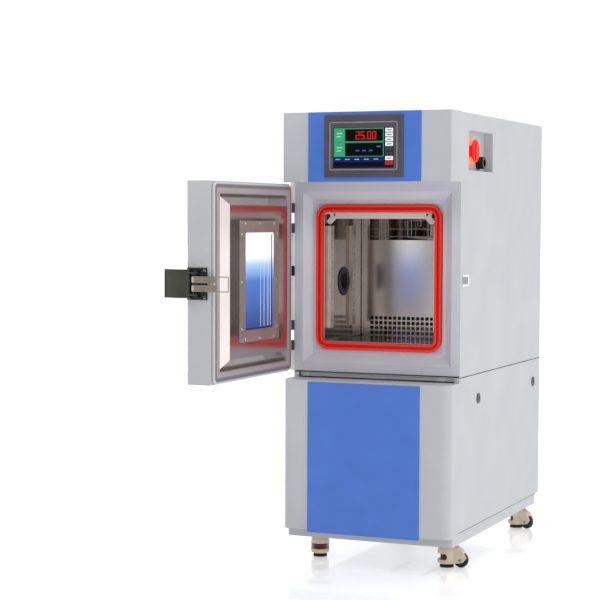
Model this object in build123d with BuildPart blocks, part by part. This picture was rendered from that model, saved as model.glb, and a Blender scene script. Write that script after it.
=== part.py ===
"""Floor-standing temperature and humidity test chamber, door open at a right angle.

Frame: millimetres, +Z up, +X to the right as one faces the front, -Y towards the operator.
The origin lies on the underside of the base pan, on the centre plane, below the door
frame's front face, so the casters and their feet reach below z = 0.
"""

import os
from math import cos, radians, sin, sqrt

from build123d import *

os.makedirs("parts", exist_ok=True)

# Cabinet
cabinet_width = 600
cabinet_depth = 970
front_reach = 100
skin = 1.5
side = cabinet_width / 2

# Heights above the underside of the base pan
base_height = 39
lower_front_bottom = 31
ledge_height = 542
seam_height = 560
frame_bottom = 565
frame_top = 1211
cabinet_top = 1443
frame_middle = (frame_bottom + frame_top) / 2

# Clearances
seat_gap = 0.3
panel_gap = 0.5
running_gap = 0.05

# Chamber and door frame
opening_width = 400
opening_height = 440
frame_lip_side = 12
frame_lip_head = 15
bevel_run = 27
bevel_depth = 26
frame_thickness = 28
liner_back = 520
liner_flange = 30
liner_radius = 8
plate_thickness = 1.5
gasket_band = 26
gasket_radius = 44
baffle_y = 372

# Door, in closed-door measures: x across, y from the frame face, z up
door_width = 600
door_height = 640
door_thickness = 80
door_gap = 12
door_middle = frame_bottom + door_height / 2
plug_lap_side = 20
plug_lap_head = 25
plug_rise = 28
plug_slope = 34
seal_inset = 4
window_width = 224
window_height = 320
window_frame_width = 296
window_frame_height = 390
hinge_x = -314.5
hinge_y = -21.5
hinge_height = 104
hinge_spread = 403
knuckle_radius = 7
pin_radius = 3
leaf = 3
latch_z = 883

door_inner = -door_gap
door_outer = door_inner - door_thickness
gasket_front = door_inner + plug_rise + seat_gap
flange_width = opening_width + 2 * liner_flange
flange_height = opening_height + 2 * liner_flange
frame_lip_width = flange_width + 2 * frame_lip_side
frame_lip_height = flange_height + 2 * frame_lip_head
frame_edge_width = frame_lip_width + 2 * bevel_run
frame_edge_height = frame_lip_height + 2 * bevel_run
plug_width = opening_width + 2 * plug_lap_side
plug_height = opening_height + 2 * plug_lap_head
insulation_top = frame_top - 2
insulation_back = liner_back + 70


def front_plane(y):
    """Plane facing the operator at depth y: sketch x is x, sketch y is z."""
    return Plane(origin=(0, y, 0), x_dir=(1, 0, 0), z_dir=(0, -1, 0))


def side_plane(x):
    """Plane facing right at x: sketch x is y, sketch y is z."""
    return Plane(origin=(x, 0, 0), x_dir=(0, 1, 0), z_dir=(1, 0, 0))


def door_plane(y):
    """Elevation of the opened door at closed-door depth y, facing the door's outside."""
    return Plane(origin=(hinge_x - hinge_y + y, hinge_x + hinge_y, 0), x_dir=(0, -1, 0), z_dir=(-1, 0, 0))


def door_level(z):
    """Plan of the opened door at height z, drawn in closed-door x and y."""
    return Plane(origin=(hinge_x - hinge_y, hinge_x + hinge_y, z), x_dir=(0, -1, 0), z_dir=(0, 0, 1))


def door_edge(x):
    """Plane of the door's edge at closed-door x: sketch x is closed-door y, sketch y is z."""
    return Plane(
        origin=(hinge_x - hinge_y, hinge_x + hinge_y - x, 0), x_dir=(1, 0, 0), z_dir=(0, -1, 0)
    )


# Base pan, open upwards, with a lip that the side panels stand on
base_front = -60
base_back = 940
base_wall = 3
caster_inset = 66
caster_front = 79
caster_rear = 905
caster_bolt_pitch = 56
caster_bolt = 8.5
base_length = base_back - base_front
base_centre = (base_back + base_front) / 2
caster_spots = {
    "front_left": (-side + caster_inset, caster_front),
    "front_right": (side - caster_inset, caster_front),
    "rear_left": (-side + caster_inset, caster_rear),
    "rear_right": (side - caster_inset, caster_rear),
}
with BuildPart() as base_pan:
    with BuildSketch(Plane.XY):
        with Locations((0, base_centre)):
            Rectangle(cabinet_width - 4, base_length)
    extrude(amount=base_height)
    fillet(base_pan.edges().filter_by(Axis.Z), radius=12)
    with BuildSketch(Plane.XY.offset(base_wall)):
        with Locations((0, base_centre)):
            RectangleRounded(cabinet_width - 4 - 2 * base_wall, base_length - 2 * base_wall, 9)
    extrude(amount=base_height, mode=Mode.SUBTRACT)
    with Locations(*[(x, y, base_wall) for x, y in caster_spots.values()]):
        with GridLocations(caster_bolt_pitch, caster_bolt_pitch, 2, 2):
            Hole(caster_bolt / 2, depth=base_wall)
    with BuildSketch(Plane.XY):
        with Locations((0, base_centre)):
            with GridLocations(130, 0, 2, 1):
                SlotOverall(220, 12, rotation=90)
    extrude(amount=base_wall, mode=Mode.SUBTRACT)
base_pan.part.label = "base_pan"
export_step(base_pan.part, "parts/base_pan.step")

# Lower side panels, each a sheet with returned front, back and top edges
panel_return = 18
plug_hole = 34
plug_z = 474
plug_front = 205
plug_rear = 882
side_panel_top = seam_height - panel_gap
with BuildPart() as lower_side_panels:
    for hand in (-1, 1):
        with BuildSketch(Plane.XY.offset(base_height)):
            with Locations((hand * (side - skin / 2), cabinet_depth / 2)):
                Rectangle(skin, cabinet_depth)
            with Locations((hand * (side - panel_return / 2), cabinet_depth - skin / 2)):
                Rectangle(panel_return, skin)
            with Locations((hand * (side - panel_return / 2), skin / 2)):
                Rectangle(panel_return, skin)
        extrude(amount=side_panel_top - base_height)
    with Locations(*[Plane(origin=(0, y, plug_z), z_dir=(1, 0, 0)) for y in (plug_front, plug_rear)]):
        Cylinder(plug_hole / 2, cabinet_width * 1.1, mode=Mode.SUBTRACT)
lower_side_panels.part.label = "lower_side_panels"
export_step(lower_side_panels.part, "parts/lower_side_panels.step")

# Black quarter-turn plugs that hold the side panels
plug_flange = 36
with BuildPart() as side_plugs:
    for hand in (-1, 1):
        for y in (plug_front, plug_rear):
            outward = Plane(origin=(hand * side, y, plug_z), x_dir=(0, 1, 0), z_dir=(hand, 0, 0))
            with BuildSketch(outward):
                Circle(plug_flange / 2)
            extrude(amount=2.5)
            with BuildSketch(outward.offset(-12)):
                Circle(plug_hole / 2 - seat_gap)
            extrude(amount=12)
            with BuildSketch(outward.offset(2.5)):
                SlotOverall(20, 4)
            extrude(amount=-1.5, mode=Mode.SUBTRACT)
side_plugs.part.label = "side_plugs"
export_step(side_plugs.part, "parts/side_plugs.step")

# Deck between the machine space and the chamber: a flanged tray standing on the side panels'
# height, with the spacer blocks that show under the door frame
deck_front = 9
deck_flange = 14
deck_width = cabinet_width - 2 * panel_return - 4
deck_length = cabinet_depth - skin - deck_front
with BuildPart() as mid_deck:
    with BuildSketch(Plane.XY.offset(seam_height - skin)):
        with Locations((0, deck_front + deck_length / 2)):
            Rectangle(cabinet_width - 2 * skin - 1, deck_length)
        with Locations((0, 470)):
            Rectangle(180, 120, mode=Mode.SUBTRACT)
    extrude(amount=skin)
    with BuildSketch(Plane.XY.offset(seam_height - deck_flange)):
        with Locations((0, deck_front + deck_length / 2)):
            Rectangle(deck_width, deck_length)
            Rectangle(deck_width - 2 * skin, deck_length - 2 * skin, mode=Mode.SUBTRACT)
        for x, width in ((-255, 20), (233, 28)):
            with Locations((x, deck_front - 2)):
                Rectangle(width, 4)
    extrude(amount=deck_flange)
mid_deck.part.label = "mid_deck"
export_step(mid_deck.part, "parts/mid_deck.step")

# Upper casing: one wrapped sheet over both sides and the top, with the switch recess cut out
recess_front = 79
recess_back = 347
recess_bottom = 1251
recess_top = 1385
recess_depth = 32
recess_y = (recess_front + recess_back) / 2
recess_z = (recess_bottom + recess_top) / 2
port_y = 201
port_z = 868
port_bore = 60
port_flange = 102
with BuildPart() as upper_casing:
    with BuildSketch(front_plane(0)):
        with Locations((0, (seam_height + cabinet_top) / 2)):
            Rectangle(cabinet_width, cabinet_top - seam_height)
    extrude(amount=-cabinet_depth)
    fillet(upper_casing.edges().filter_by(Axis.Y).group_by(Axis.Z)[-1], radius=4)
    with BuildSketch(front_plane(0)):
        with Locations((0, (seam_height - 10 + cabinet_top - skin) / 2)):
            Rectangle(cabinet_width - 2 * skin, cabinet_top - skin - seam_height + 10)
    extrude(amount=-cabinet_depth, mode=Mode.SUBTRACT)
    with BuildSketch(side_plane(side - 2 * skin)):
        with Locations((recess_y, recess_z)):
            Rectangle(recess_back - recess_front, recess_top - recess_bottom)
    extrude(amount=4 * skin, mode=Mode.SUBTRACT)
    with BuildSketch(side_plane(-side - skin)):
        with Locations((port_y, port_z)):
            Circle(port_bore / 2 + 4)
    extrude(amount=4 * skin, mode=Mode.SUBTRACT)
upper_casing.part.label = "upper_casing"
export_step(upper_casing.part, "parts/upper_casing.step")

# Rear panels: two sheets with punched ventilation slots
vent_slot = 90
vent_width = 7
vent_pitch = 16
with BuildPart() as back_panels:
    back_plane = front_plane(cabinet_depth)
    with BuildSketch(back_plane):
        with Locations((0, (seam_height + cabinet_top - skin) / 2)):
            Rectangle(cabinet_width - 2 * skin - 2 * panel_gap, cabinet_top - skin - seam_height - 1)
        with Locations((0, (base_height + side_panel_top) / 2)):
            Rectangle(cabinet_width - 2 * panel_return - 2 * panel_gap, side_panel_top - base_height)
    extrude(amount=skin)
    with BuildSketch(back_plane):
        with Locations((0, 250)):
            with GridLocations(vent_slot + 20, vent_pitch, 4, 16):
                SlotOverall(vent_slot, vent_width)
        with Locations((0, 1330)):
            with GridLocations(vent_slot + 20, vent_pitch, 3, 6):
                SlotOverall(vent_slot, vent_width)
    extrude(amount=skin, mode=Mode.SUBTRACT)
back_panels.part.label = "back_panels"
export_step(back_panels.part, "parts/back_panels.step")


# Front bezels: shells of bent sheet, open at the back, with rounded vertical corners
bezel_wall = 2
lower_corner = 30
console_corner = 6
panel_x = -5
bezel_lip = 14
blue_width = 402
blue_thickness = 4


def bezel_shell(bottom, top, corner):
    """Fill the running part with a round-cornered front shell, open towards the cabinet."""
    with BuildSketch(Plane.XY.offset(bottom)) as outline:
        with Locations((0, -front_reach / 2)):
            Rectangle(cabinet_width, front_reach)
        fillet(outline.vertices().group_by(Axis.Y)[0], radius=corner)
    extrude(outline.sketch, amount=top - bottom)
    with BuildSketch(Plane.XY.offset(bottom + bezel_wall)) as hollow:
        with Locations((0, (bezel_wall - front_reach) / 2)):
            Rectangle(cabinet_width - 2 * bezel_wall, front_reach - bezel_wall)
        fillet(hollow.vertices().group_by(Axis.Y)[0], radius=corner - bezel_wall)
    extrude(hollow.sketch, amount=top - bottom - 2 * bezel_wall, mode=Mode.SUBTRACT)


with BuildPart() as lower_bezel:
    bezel_shell(lower_front_bottom, ledge_height, lower_corner)
    with BuildSketch(Plane.XY.offset(lower_front_bottom)) as mouth:
        with Locations((0, bezel_lip - front_reach / 2)):
            Rectangle(cabinet_width - 2 * bezel_wall, front_reach)
        fillet(mouth.vertices().group_by(Axis.Y)[0], radius=10)
    extrude(amount=bezel_wall, mode=Mode.SUBTRACT)
    with BuildSketch(front_plane(-front_reach + bezel_wall)):
        with Locations((panel_x, (lower_front_bottom + ledge_height) / 2)):
            Rectangle(blue_width - 60, ledge_height - lower_front_bottom - 60)
    extrude(amount=2 * bezel_wall, mode=Mode.SUBTRACT)
lower_bezel.part.label = "lower_bezel"
export_step(lower_bezel.part, "parts/lower_bezel.step")

# Blue lower panel: a shallow pan that hooks over the bezel's opening
blue_bottom = 24
blue_top = 536
blue_fold = 12
with BuildPart() as lower_front_panel:
    with BuildSketch(front_plane(-front_reach)):
        with Locations((panel_x, (blue_bottom + blue_top) / 2)):
            Rectangle(blue_width, blue_top - blue_bottom)
    extrude(amount=blue_thickness)
    fillet(lower_front_panel.edges().filter_by(Axis.Z).group_by(Axis.Y)[0], radius=2)
    with BuildSketch(front_plane(-front_reach)):
        with Locations((panel_x, (lower_front_bottom + ledge_height) / 2)):
            Rectangle(blue_width - 62, ledge_height - lower_front_bottom - 62)
            Rectangle(blue_width - 65, ledge_height - lower_front_bottom - 65, mode=Mode.SUBTRACT)
    extrude(amount=-blue_fold)
lower_front_panel.part.label = "lower_front_panel"
export_step(lower_front_panel.part, "parts/lower_front_panel.step")

# Console above the door, with the touch panel
panel_centre_z = 1328.5
display_bezel_width = 281
display_bezel_height = 206
display_bezel_thickness = 6
screen_width = 216
screen_height = 134
screen_z = 1323
screen_body_width = 254
screen_body_height = 188
screen_body_depth = 46
with BuildPart() as console_bezel:
    bezel_shell(frame_top, cabinet_top, console_corner)
    with BuildSketch(front_plane(-front_reach + bezel_wall)):
        with Locations((panel_x, panel_centre_z)):
            Rectangle(screen_body_width + 2 * panel_gap, screen_body_height + 2 * panel_gap)
    extrude(amount=2 * bezel_wall, mode=Mode.SUBTRACT)
console_bezel.part.label = "console_bezel"
export_step(console_bezel.part, "parts/console_bezel.step")

with BuildPart() as console_panel:
    with BuildSketch(front_plane(-front_reach)):
        with Locations((panel_x, (frame_top + cabinet_top) / 2)):
            Rectangle(blue_width, cabinet_top - frame_top)
        with Locations((panel_x, panel_centre_z)):
            Rectangle(
                screen_body_width + 2 * panel_gap,
                screen_body_height + 2 * panel_gap,
                mode=Mode.SUBTRACT,
            )
    extrude(amount=blue_thickness)
    fillet(console_panel.edges().filter_by(Axis.Z).group_by(Axis.Y)[0].sort_by(Axis.X)[0], radius=2)
    fillet(console_panel.edges().filter_by(Axis.Z).group_by(Axis.Y)[0].sort_by(Axis.X)[-1], radius=2)
console_panel.part.label = "console_panel"
export_step(console_panel.part, "parts/console_panel.step")

display_back = -front_reach - blue_thickness
with BuildPart() as display_bezel:
    with BuildSketch(front_plane(display_back)):
        with Locations((panel_x, panel_centre_z)):
            RectangleRounded(display_bezel_width, display_bezel_height, 3)
    extrude(amount=display_bezel_thickness)
    chamfer(display_bezel.faces().sort_by(Axis.Y)[0].edges(), length=2.5)
    with BuildSketch(front_plane(display_back)):
        with Locations((panel_x, screen_z)):
            Rectangle(screen_width, screen_height)
    extrude(amount=display_bezel_thickness, mode=Mode.SUBTRACT)
    with BuildSketch(front_plane(display_back - display_bezel_thickness)):
        with Locations((panel_x, panel_centre_z)):
            Rectangle(240, 158)
            Rectangle(237, 155, mode=Mode.SUBTRACT)
    extrude(amount=-0.5, mode=Mode.SUBTRACT)
display_bezel.part.label = "display_bezel"
export_step(display_bezel.part, "parts/display_bezel.step")

with BuildPart() as display_module:
    with BuildSketch(front_plane(display_back)):
        with Locations((panel_x, screen_z)):
            Rectangle(screen_width - 2 * seat_gap, screen_height - 2 * seat_gap)
    extrude(amount=display_bezel_thickness - 2.5)
    with BuildSketch(front_plane(display_back)):
        with Locations((panel_x, panel_centre_z)):
            Rectangle(screen_body_width, screen_body_height)
    extrude(amount=-screen_body_depth)
display_module.part.label = "display_module"
export_step(display_module.part, "parts/display_module.step")

# Door frame: folded sheet with a flat face and a bevel that falls inwards to a narrow lip,
# mitred at the corners
mitre_width = 0.8
mitre_depth = 0.5
mitre_reach = frame_edge_width / 2 - flange_width / 2 + 1
with BuildPart() as door_frame:
    for depth, spread in ((0, skin * sqrt(2)), (skin, 0)):
        with BuildSketch(front_plane(0)):
            with Locations((0, frame_middle)):
                Rectangle(frame_edge_width + 2 * spread, frame_edge_height + 2 * spread)
        with BuildSketch(front_plane(bevel_depth)):
            with Locations((0, frame_middle)):
                Rectangle(frame_lip_width + 2 * spread, frame_lip_height + 2 * spread)
        loft(mode=Mode.SUBTRACT if depth else Mode.ADD)
    with BuildSketch(front_plane(0)):
        with Locations((0, frame_middle)):
            Rectangle(cabinet_width - 2 * skin, frame_top - frame_bottom)
            Rectangle(frame_edge_width, frame_edge_height, mode=Mode.SUBTRACT)
    extrude(amount=-skin)
    with BuildSketch(front_plane(0)):
        with Locations((0, frame_middle)):
            Rectangle(cabinet_width - 2 * skin, frame_top - frame_bottom)
            Rectangle(cabinet_width - 4 * skin, frame_top - frame_bottom - 2 * skin, mode=Mode.SUBTRACT)
    extrude(amount=-frame_thickness)
    with BuildSketch(front_plane(bevel_depth)):
        with Locations((0, frame_middle)):
            Rectangle(frame_lip_width + 2 * skin, frame_lip_height + 2 * skin)
            Rectangle(flange_width, flange_height, mode=Mode.SUBTRACT)
    extrude(amount=bevel_depth - frame_thickness)
    for turn_x in (-1, 1):
        for turn_z in (-1, 1):
            mitre = Plane(
                origin=(turn_x * frame_edge_width / 2, 0, frame_middle + turn_z * frame_edge_height / 2),
                x_dir=(-turn_x, 0, -turn_z),
                z_dir=(turn_z, 0, -turn_x),
            )
            with BuildSketch(mitre):
                with BuildLine():
                    Polyline(
                        (0, -1),
                        (0, mitre_depth),
                        (bevel_run * sqrt(2), bevel_depth + mitre_depth),
                        (mitre_reach * sqrt(2), bevel_depth + mitre_depth),
                        (mitre_reach * sqrt(2), -1),
                        close=True,
                    )
                make_face()
            extrude(amount=mitre_width / 2, both=True, mode=Mode.SUBTRACT)
door_frame.part.label = "door_frame"
export_step(door_frame.part, "parts/door_frame.step")

# Chamber liner: folded stainless box with a front flange, and under the top edge of its mouth
# a drip rail with a gusset at each end
rail_y = 38
drip_height = 20
gusset_gap = 14
gusset_x = opening_width / 2 - 21
drip_length = 2 * (gusset_x - gusset_gap)
gusset_drop = 24
opening_top = frame_middle + opening_height / 2
opening_bottom = frame_middle - opening_height / 2
cable_sleeve = port_bore + 2 * plate_thickness
shaft_y = 446
shaft_clear = 30
with BuildPart() as chamber_liner:
    with BuildSketch(front_plane(frame_thickness)):
        with Locations((0, frame_middle)):
            Rectangle(flange_width + 60, flange_height + 60)
    extrude(amount=-plate_thickness)
    with BuildSketch(front_plane(frame_thickness)):
        with Locations((0, frame_middle)):
            RectangleRounded(
                opening_width + 2 * plate_thickness, opening_height + 2 * plate_thickness, liner_radius
            )
    extrude(amount=frame_thickness - liner_back)
    with BuildSketch(front_plane(frame_thickness)):
        with Locations((0, frame_middle)):
            RectangleRounded(opening_width, opening_height, liner_radius - plate_thickness)
    extrude(amount=frame_thickness - liner_back + plate_thickness, mode=Mode.SUBTRACT)
    with BuildSketch(side_plane(-opening_width / 2 - 2 * plate_thickness)):
        with Locations((port_y, port_z)):
            Circle(port_bore / 2 + plate_thickness + seat_gap)
    extrude(amount=4 * plate_thickness, mode=Mode.SUBTRACT)
    with BuildSketch(Plane.XY.offset(frame_middle + opening_height / 2 - 1)):
        with Locations((0, shaft_y)):
            Circle(shaft_clear / 2)
    extrude(amount=4 * plate_thickness, mode=Mode.SUBTRACT)
    with BuildSketch(front_plane(rail_y)):
        with Locations((0, opening_top - drip_height / 2)):
            Rectangle(drip_length, drip_height)
        for hand in (-1, 1):
            with Locations((hand * gusset_x, opening_top - gusset_drop)):
                Rectangle(34, 19, rotation=-45 * hand)
            with Locations((hand * gusset_x, opening_top - gusset_drop / 2)):
                Rectangle(10, gusset_drop)
    extrude(amount=-plate_thickness)
    with BuildSketch(Plane.XY.offset(opening_top - plate_thickness)):
        with Locations((0, rail_y + 15)):
            Rectangle(opening_width - 2 * liner_radius - 2, 30)
    extrude(amount=plate_thickness)
chamber_liner.part.label = "chamber_liner"
export_step(chamber_liner.part, "parts/chamber_liner.step")

# Foamed insulation around the liner
with BuildPart() as chamber_insulation:
    with BuildSketch(front_plane(frame_thickness + plate_thickness)):
        with Locations((0, (seam_height + insulation_top) / 2)):
            Rectangle(cabinet_width - 2 * skin, insulation_top - seam_height)
            with Locations((0, frame_middle - (seam_height + insulation_top) / 2)):
                RectangleRounded(
                    opening_width + 2 * plate_thickness,
                    opening_height + 2 * plate_thickness,
                    liner_radius,
                    mode=Mode.SUBTRACT,
                )
    extrude(amount=frame_thickness + plate_thickness - liner_back)
    with BuildSketch(front_plane(liner_back)):
        with Locations((0, (seam_height + insulation_top) / 2)):
            Rectangle(cabinet_width - 2 * skin, insulation_top - seam_height)
    extrude(amount=liner_back - insulation_back)
    with BuildSketch(Plane.XY.offset(frame_middle)):
        with Locations((0, shaft_y)):
            Circle(shaft_clear / 2)
    extrude(amount=opening_height, mode=Mode.SUBTRACT)
    with BuildSketch(side_plane(-side)):
        with Locations((port_y, port_z)):
            Circle(cable_sleeve / 2 + seat_gap)
    extrude(amount=side - opening_width / 2 + plate_thickness, mode=Mode.SUBTRACT)
chamber_insulation.part.label = "chamber_insulation"
export_step(chamber_insulation.part, "parts/chamber_insulation.step")

# Red silicone gasket on the liner flange: a base with two rounded lips and a groove between
gasket_width = opening_width + 2 * (gasket_band + 2)
gasket_height = opening_height + 2 * (gasket_band + 2)
gasket_base = 5
lip_width = 9.5
with BuildPart() as frame_gasket:
    with BuildSketch(front_plane(frame_thickness)):
        with Locations((0, frame_middle)):
            RectangleRounded(gasket_width, gasket_height, gasket_radius)
            RectangleRounded(
                gasket_width - 2 * gasket_band,
                gasket_height - 2 * gasket_band,
                gasket_radius - gasket_band,
                mode=Mode.SUBTRACT,
            )
    extrude(amount=gasket_base)
    for inset in (0, gasket_band - lip_width):
        with BuildSketch(front_plane(frame_thickness - gasket_base)) as lip:
            with Locations((0, frame_middle)):
                RectangleRounded(gasket_width - 2 * inset, gasket_height - 2 * inset, gasket_radius - inset)
                RectangleRounded(
                    gasket_width - 2 * (inset + lip_width),
                    gasket_height - 2 * (inset + lip_width),
                    gasket_radius - inset - lip_width,
                    mode=Mode.SUBTRACT,
                )
        extrude(amount=frame_thickness - gasket_base - gasket_front)
    fillet(frame_gasket.faces().filter_by(Axis.Y).group_by(Axis.Y)[0].edges(), radius=3.5)
frame_gasket.part.label = "frame_gasket"
export_step(frame_gasket.part, "parts/frame_gasket.step")

# Slotted shelf uprights, two on each side wall
upright_depth = 13
upright_width = 30
upright_bottom = 712
upright_top = 1063
upright_slot_pitch = 25
upright_front = 52
upright_rear = port_y + port_flange / 2 + 1
with BuildPart() as shelf_uprights:
    for hand in (-1, 1):
        for y in (upright_front, upright_rear):
            wall_x = hand * opening_width / 2
            face_x = wall_x - hand * upright_depth
            with BuildSketch(Plane.XY.offset(upright_bottom)):
                with Locations(((wall_x + face_x) / 2, y + upright_width / 2)):
                    Rectangle(upright_depth, upright_width)
                with Locations(((wall_x + face_x) / 2 + hand * plate_thickness, y + upright_width / 2)):
                    Rectangle(
                        upright_depth, upright_width - 2 * plate_thickness, mode=Mode.SUBTRACT
                    )
            extrude(amount=upright_top - upright_bottom)
            with BuildSketch(side_plane(face_x - 5)):
                with Locations((y + upright_width / 2, (upright_bottom + upright_top) / 2)):
                    with GridLocations(0, upright_slot_pitch, 1, 13):
                        Rectangle(12, 4)
            extrude(amount=10, mode=Mode.SUBTRACT)
shelf_uprights.part.label = "shelf_uprights"
export_step(shelf_uprights.part, "parts/shelf_uprights.step")

# Rear baffle: air returns through the square perforation at the foot and leaves at the top
baffle_top = 1012
baffle_flange = 30
perforation = 12
perforation_pitch = 17.6
perforation_columns = 19
perforation_rows = 4
perforation_margin = 4
baffle_width = opening_width - 4
with BuildPart() as rear_baffle:
    with BuildSketch(front_plane(baffle_y)):
        with Locations((0, (opening_bottom + baffle_top) / 2)):
            Rectangle(baffle_width, baffle_top - opening_bottom)
        for hand in (-1, 1):
            with Locations((hand * (baffle_width - baffle_flange) / 2, frame_middle)):
                Rectangle(baffle_flange, opening_height)
        with Locations((0, frame_middle)):
            RectangleRounded(baffle_width, opening_height, liner_radius, mode=Mode.INTERSECT)
    extrude(amount=-plate_thickness)
    with BuildSketch(Plane.XY.offset(baffle_top - plate_thickness)):
        with Locations((0, baffle_y + 9)):
            Rectangle(baffle_width - 2 * baffle_flange, 18)
    extrude(amount=plate_thickness)
    with BuildSketch(front_plane(baffle_y)):
        for hand in (-1, 1):
            with Locations((hand * (baffle_width / 2 - 9), frame_middle)):
                Rectangle(18, opening_height)
        with Locations((0, frame_middle)):
            RectangleRounded(baffle_width, opening_height, liner_radius, mode=Mode.INTERSECT)
    extrude(amount=plate_thickness)
    first_row = opening_bottom + perforation_margin + perforation / 2
    with BuildSketch(front_plane(baffle_y)):
        with Locations((0, first_row + (perforation_rows - 1) * perforation_pitch / 2)):
            with GridLocations(perforation_pitch, perforation_pitch, perforation_columns, perforation_rows):
                Rectangle(perforation, perforation)
    extrude(amount=-2 * plate_thickness, mode=Mode.SUBTRACT)
    for hand in (-1, 1):
        for z in (698, 985, 1078):
            with BuildSketch(front_plane(baffle_y - plate_thickness)):
                with Locations((hand * (baffle_width / 2 - 9), z)):
                    Circle(4)
            extrude(amount=2, taper=25)
rear_baffle.part.label = "rear_baffle"
export_step(rear_baffle.part, "parts/rear_baffle.step")

# Wire guard across the air outlet, with the bracket of the two temperature probes behind it
probe_y = 392
wire = 3
guard_y = baffle_y + 3.5
guard_width = baffle_width - 2 * baffle_flange
with BuildPart() as outlet_guard:
    for z in (1024.6, 1052, 1090):
        with BuildSketch(side_plane(-guard_width / 2 - 8)):
            with Locations((guard_y, z)):
                Circle(wire / 2)
        extrude(amount=guard_width + 16)
    for x in (-guard_width / 2 - 6, -53, 53, guard_width / 2 + 6):
        with BuildSketch(Plane.XY.offset(baffle_top)):
            with Locations((x, guard_y)):
                Circle(wire / 2)
        extrude(amount=opening_top - baffle_top)
    with BuildSketch(front_plane(probe_y)):
        with Locations((-122, (baffle_top + opening_top) / 2)):
            Rectangle(38, opening_top - baffle_top)
    extrude(amount=-2)
    for x in (-131, -113):
        with BuildSketch(Plane.XY.offset(baffle_top + 4)):
            with Locations((x, probe_y - 3)):
                Circle(3.2)
        extrude(amount=76)
outlet_guard.part.label = "outlet_guard"
export_step(outlet_guard.part, "parts/outlet_guard.step")

# Circulation fan: squirrel-cage wheel on a vertical shaft, driven from above the chamber
wheel_radius = 64
wheel_bottom = 1020
wheel_height = 62
blade_count = 24
shaft_radius = 5
motor_seat = insulation_top
motor_height = 120
shaft_top = motor_seat + 80
with BuildPart() as blower_wheel:
    with BuildSketch(Plane.XY.offset(wheel_bottom)):
        with Locations((0, shaft_y)):
            Circle(wheel_radius)
            Circle(wheel_radius - 12, mode=Mode.SUBTRACT)
    extrude(amount=2)
    with BuildSketch(Plane.XY.offset(wheel_bottom + wheel_height)):
        with Locations((0, shaft_y)):
            Circle(wheel_radius)
    extrude(amount=2)
    with BuildSketch(Plane.XY.offset(wheel_bottom + 2)):
        with Locations((0, shaft_y)):
            with PolarLocations(wheel_radius - 6, blade_count):
                Rectangle(11, 1.2, rotation=35)
    extrude(amount=wheel_height - 2)
    with BuildSketch(Plane.XY.offset(wheel_bottom + wheel_height - 22)):
        with Locations((0, shaft_y)):
            Circle(14)
    extrude(amount=22)
    with BuildSketch(Plane.XY.offset(wheel_bottom + wheel_height)):
        with Locations((0, shaft_y)):
            Circle(shaft_radius)
    extrude(amount=shaft_top - wheel_bottom - wheel_height)
blower_wheel.part.label = "blower_wheel"
export_step(blower_wheel.part, "parts/blower_wheel.step")

with BuildPart() as fan_motor:
    with BuildSketch(Plane.XY.offset(motor_seat)):
        with Locations((0, shaft_y)):
            Circle(62)
    extrude(amount=6)
    with BuildSketch(Plane.XY.offset(motor_seat + 6)):
        with Locations((0, shaft_y)):
            Circle(46)
    extrude(amount=motor_height - 6)
    fillet(fan_motor.faces().sort_by(Axis.Z)[-1].edges(), radius=10)
    with BuildSketch(Plane.XY.offset(motor_seat)):
        with Locations((0, shaft_y)):
            Circle(shaft_radius + running_gap)
    extrude(amount=shaft_top - motor_seat + 2, mode=Mode.SUBTRACT)
fan_motor.part.label = "fan_motor"
export_step(fan_motor.part, "parts/fan_motor.step")

# Conditioning coils. Evaporator: finned block between two tube sheets, with return bends at both ends
coil_width = 300
coil_front = 405
coil_depth = 88
coil_bottom = 700
coil_height = 180
coil_rows = 5
heater_radius = 4
heater_pitch = 26
heater_reach = 120
heater_z = 915
with BuildPart() as conditioning_coils:
    with BuildSketch(Plane.XY.offset(coil_bottom)):
        with Locations((0, coil_front + coil_depth / 2)):
            with GridLocations(coil_width / 20, 0, 20, 1):
                Rectangle(1, coil_depth)
    extrude(amount=coil_height)
    with BuildSketch(side_plane(-coil_width / 2 - 6)):
        with Locations((coil_front + coil_depth / 2, coil_bottom + coil_height / 2)):
            with GridLocations(coil_depth / 2, coil_height / coil_rows, 2, coil_rows):
                Circle(5)
    extrude(amount=coil_width + 12)
    for x in (-coil_width / 2 - 8, coil_width / 2 + 6):
        with BuildSketch(side_plane(x)):
            with Locations((coil_front + coil_depth / 2, coil_bottom + coil_height / 2 - 16)):
                Rectangle(coil_depth, coil_height + 32)
        extrude(amount=2)
    # Heater: one sheathed element bent into a serpentine, its ends through the back of the liner
    with BuildLine(Plane(origin=(0, 450, heater_z), x_dir=(1, 0, 0), z_dir=(0, -1, 0))) as element:
        left = -heater_reach
        right = heater_reach
        run_one = Line((left, 0), (right, 0))
        bend_one = CenterArc((right, heater_pitch / 2), heater_pitch / 2, -90, 180)
        run_two = Line(bend_one @ 1, (left, heater_pitch))
        bend_two = CenterArc((left, heater_pitch * 1.5), heater_pitch / 2, 270, -180)
        run_three = Line(bend_two @ 1, (right, heater_pitch * 2))
    with BuildSketch(Plane(origin=element.line @ 0, z_dir=element.line % 0)):
        Circle(heater_radius)
    sweep()
    for x, z in ((left + 6, heater_z), (right - 6, heater_z + 2 * heater_pitch)):
        with BuildSketch(front_plane(450)):
            with Locations((x, z)):
                Circle(heater_radius + 2)
        extrude(amount=450 - liner_back + plate_thickness)
conditioning_coils.part.label = "conditioning_coils"
export_step(conditioning_coils.part, "parts/conditioning_coils.step")

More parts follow.
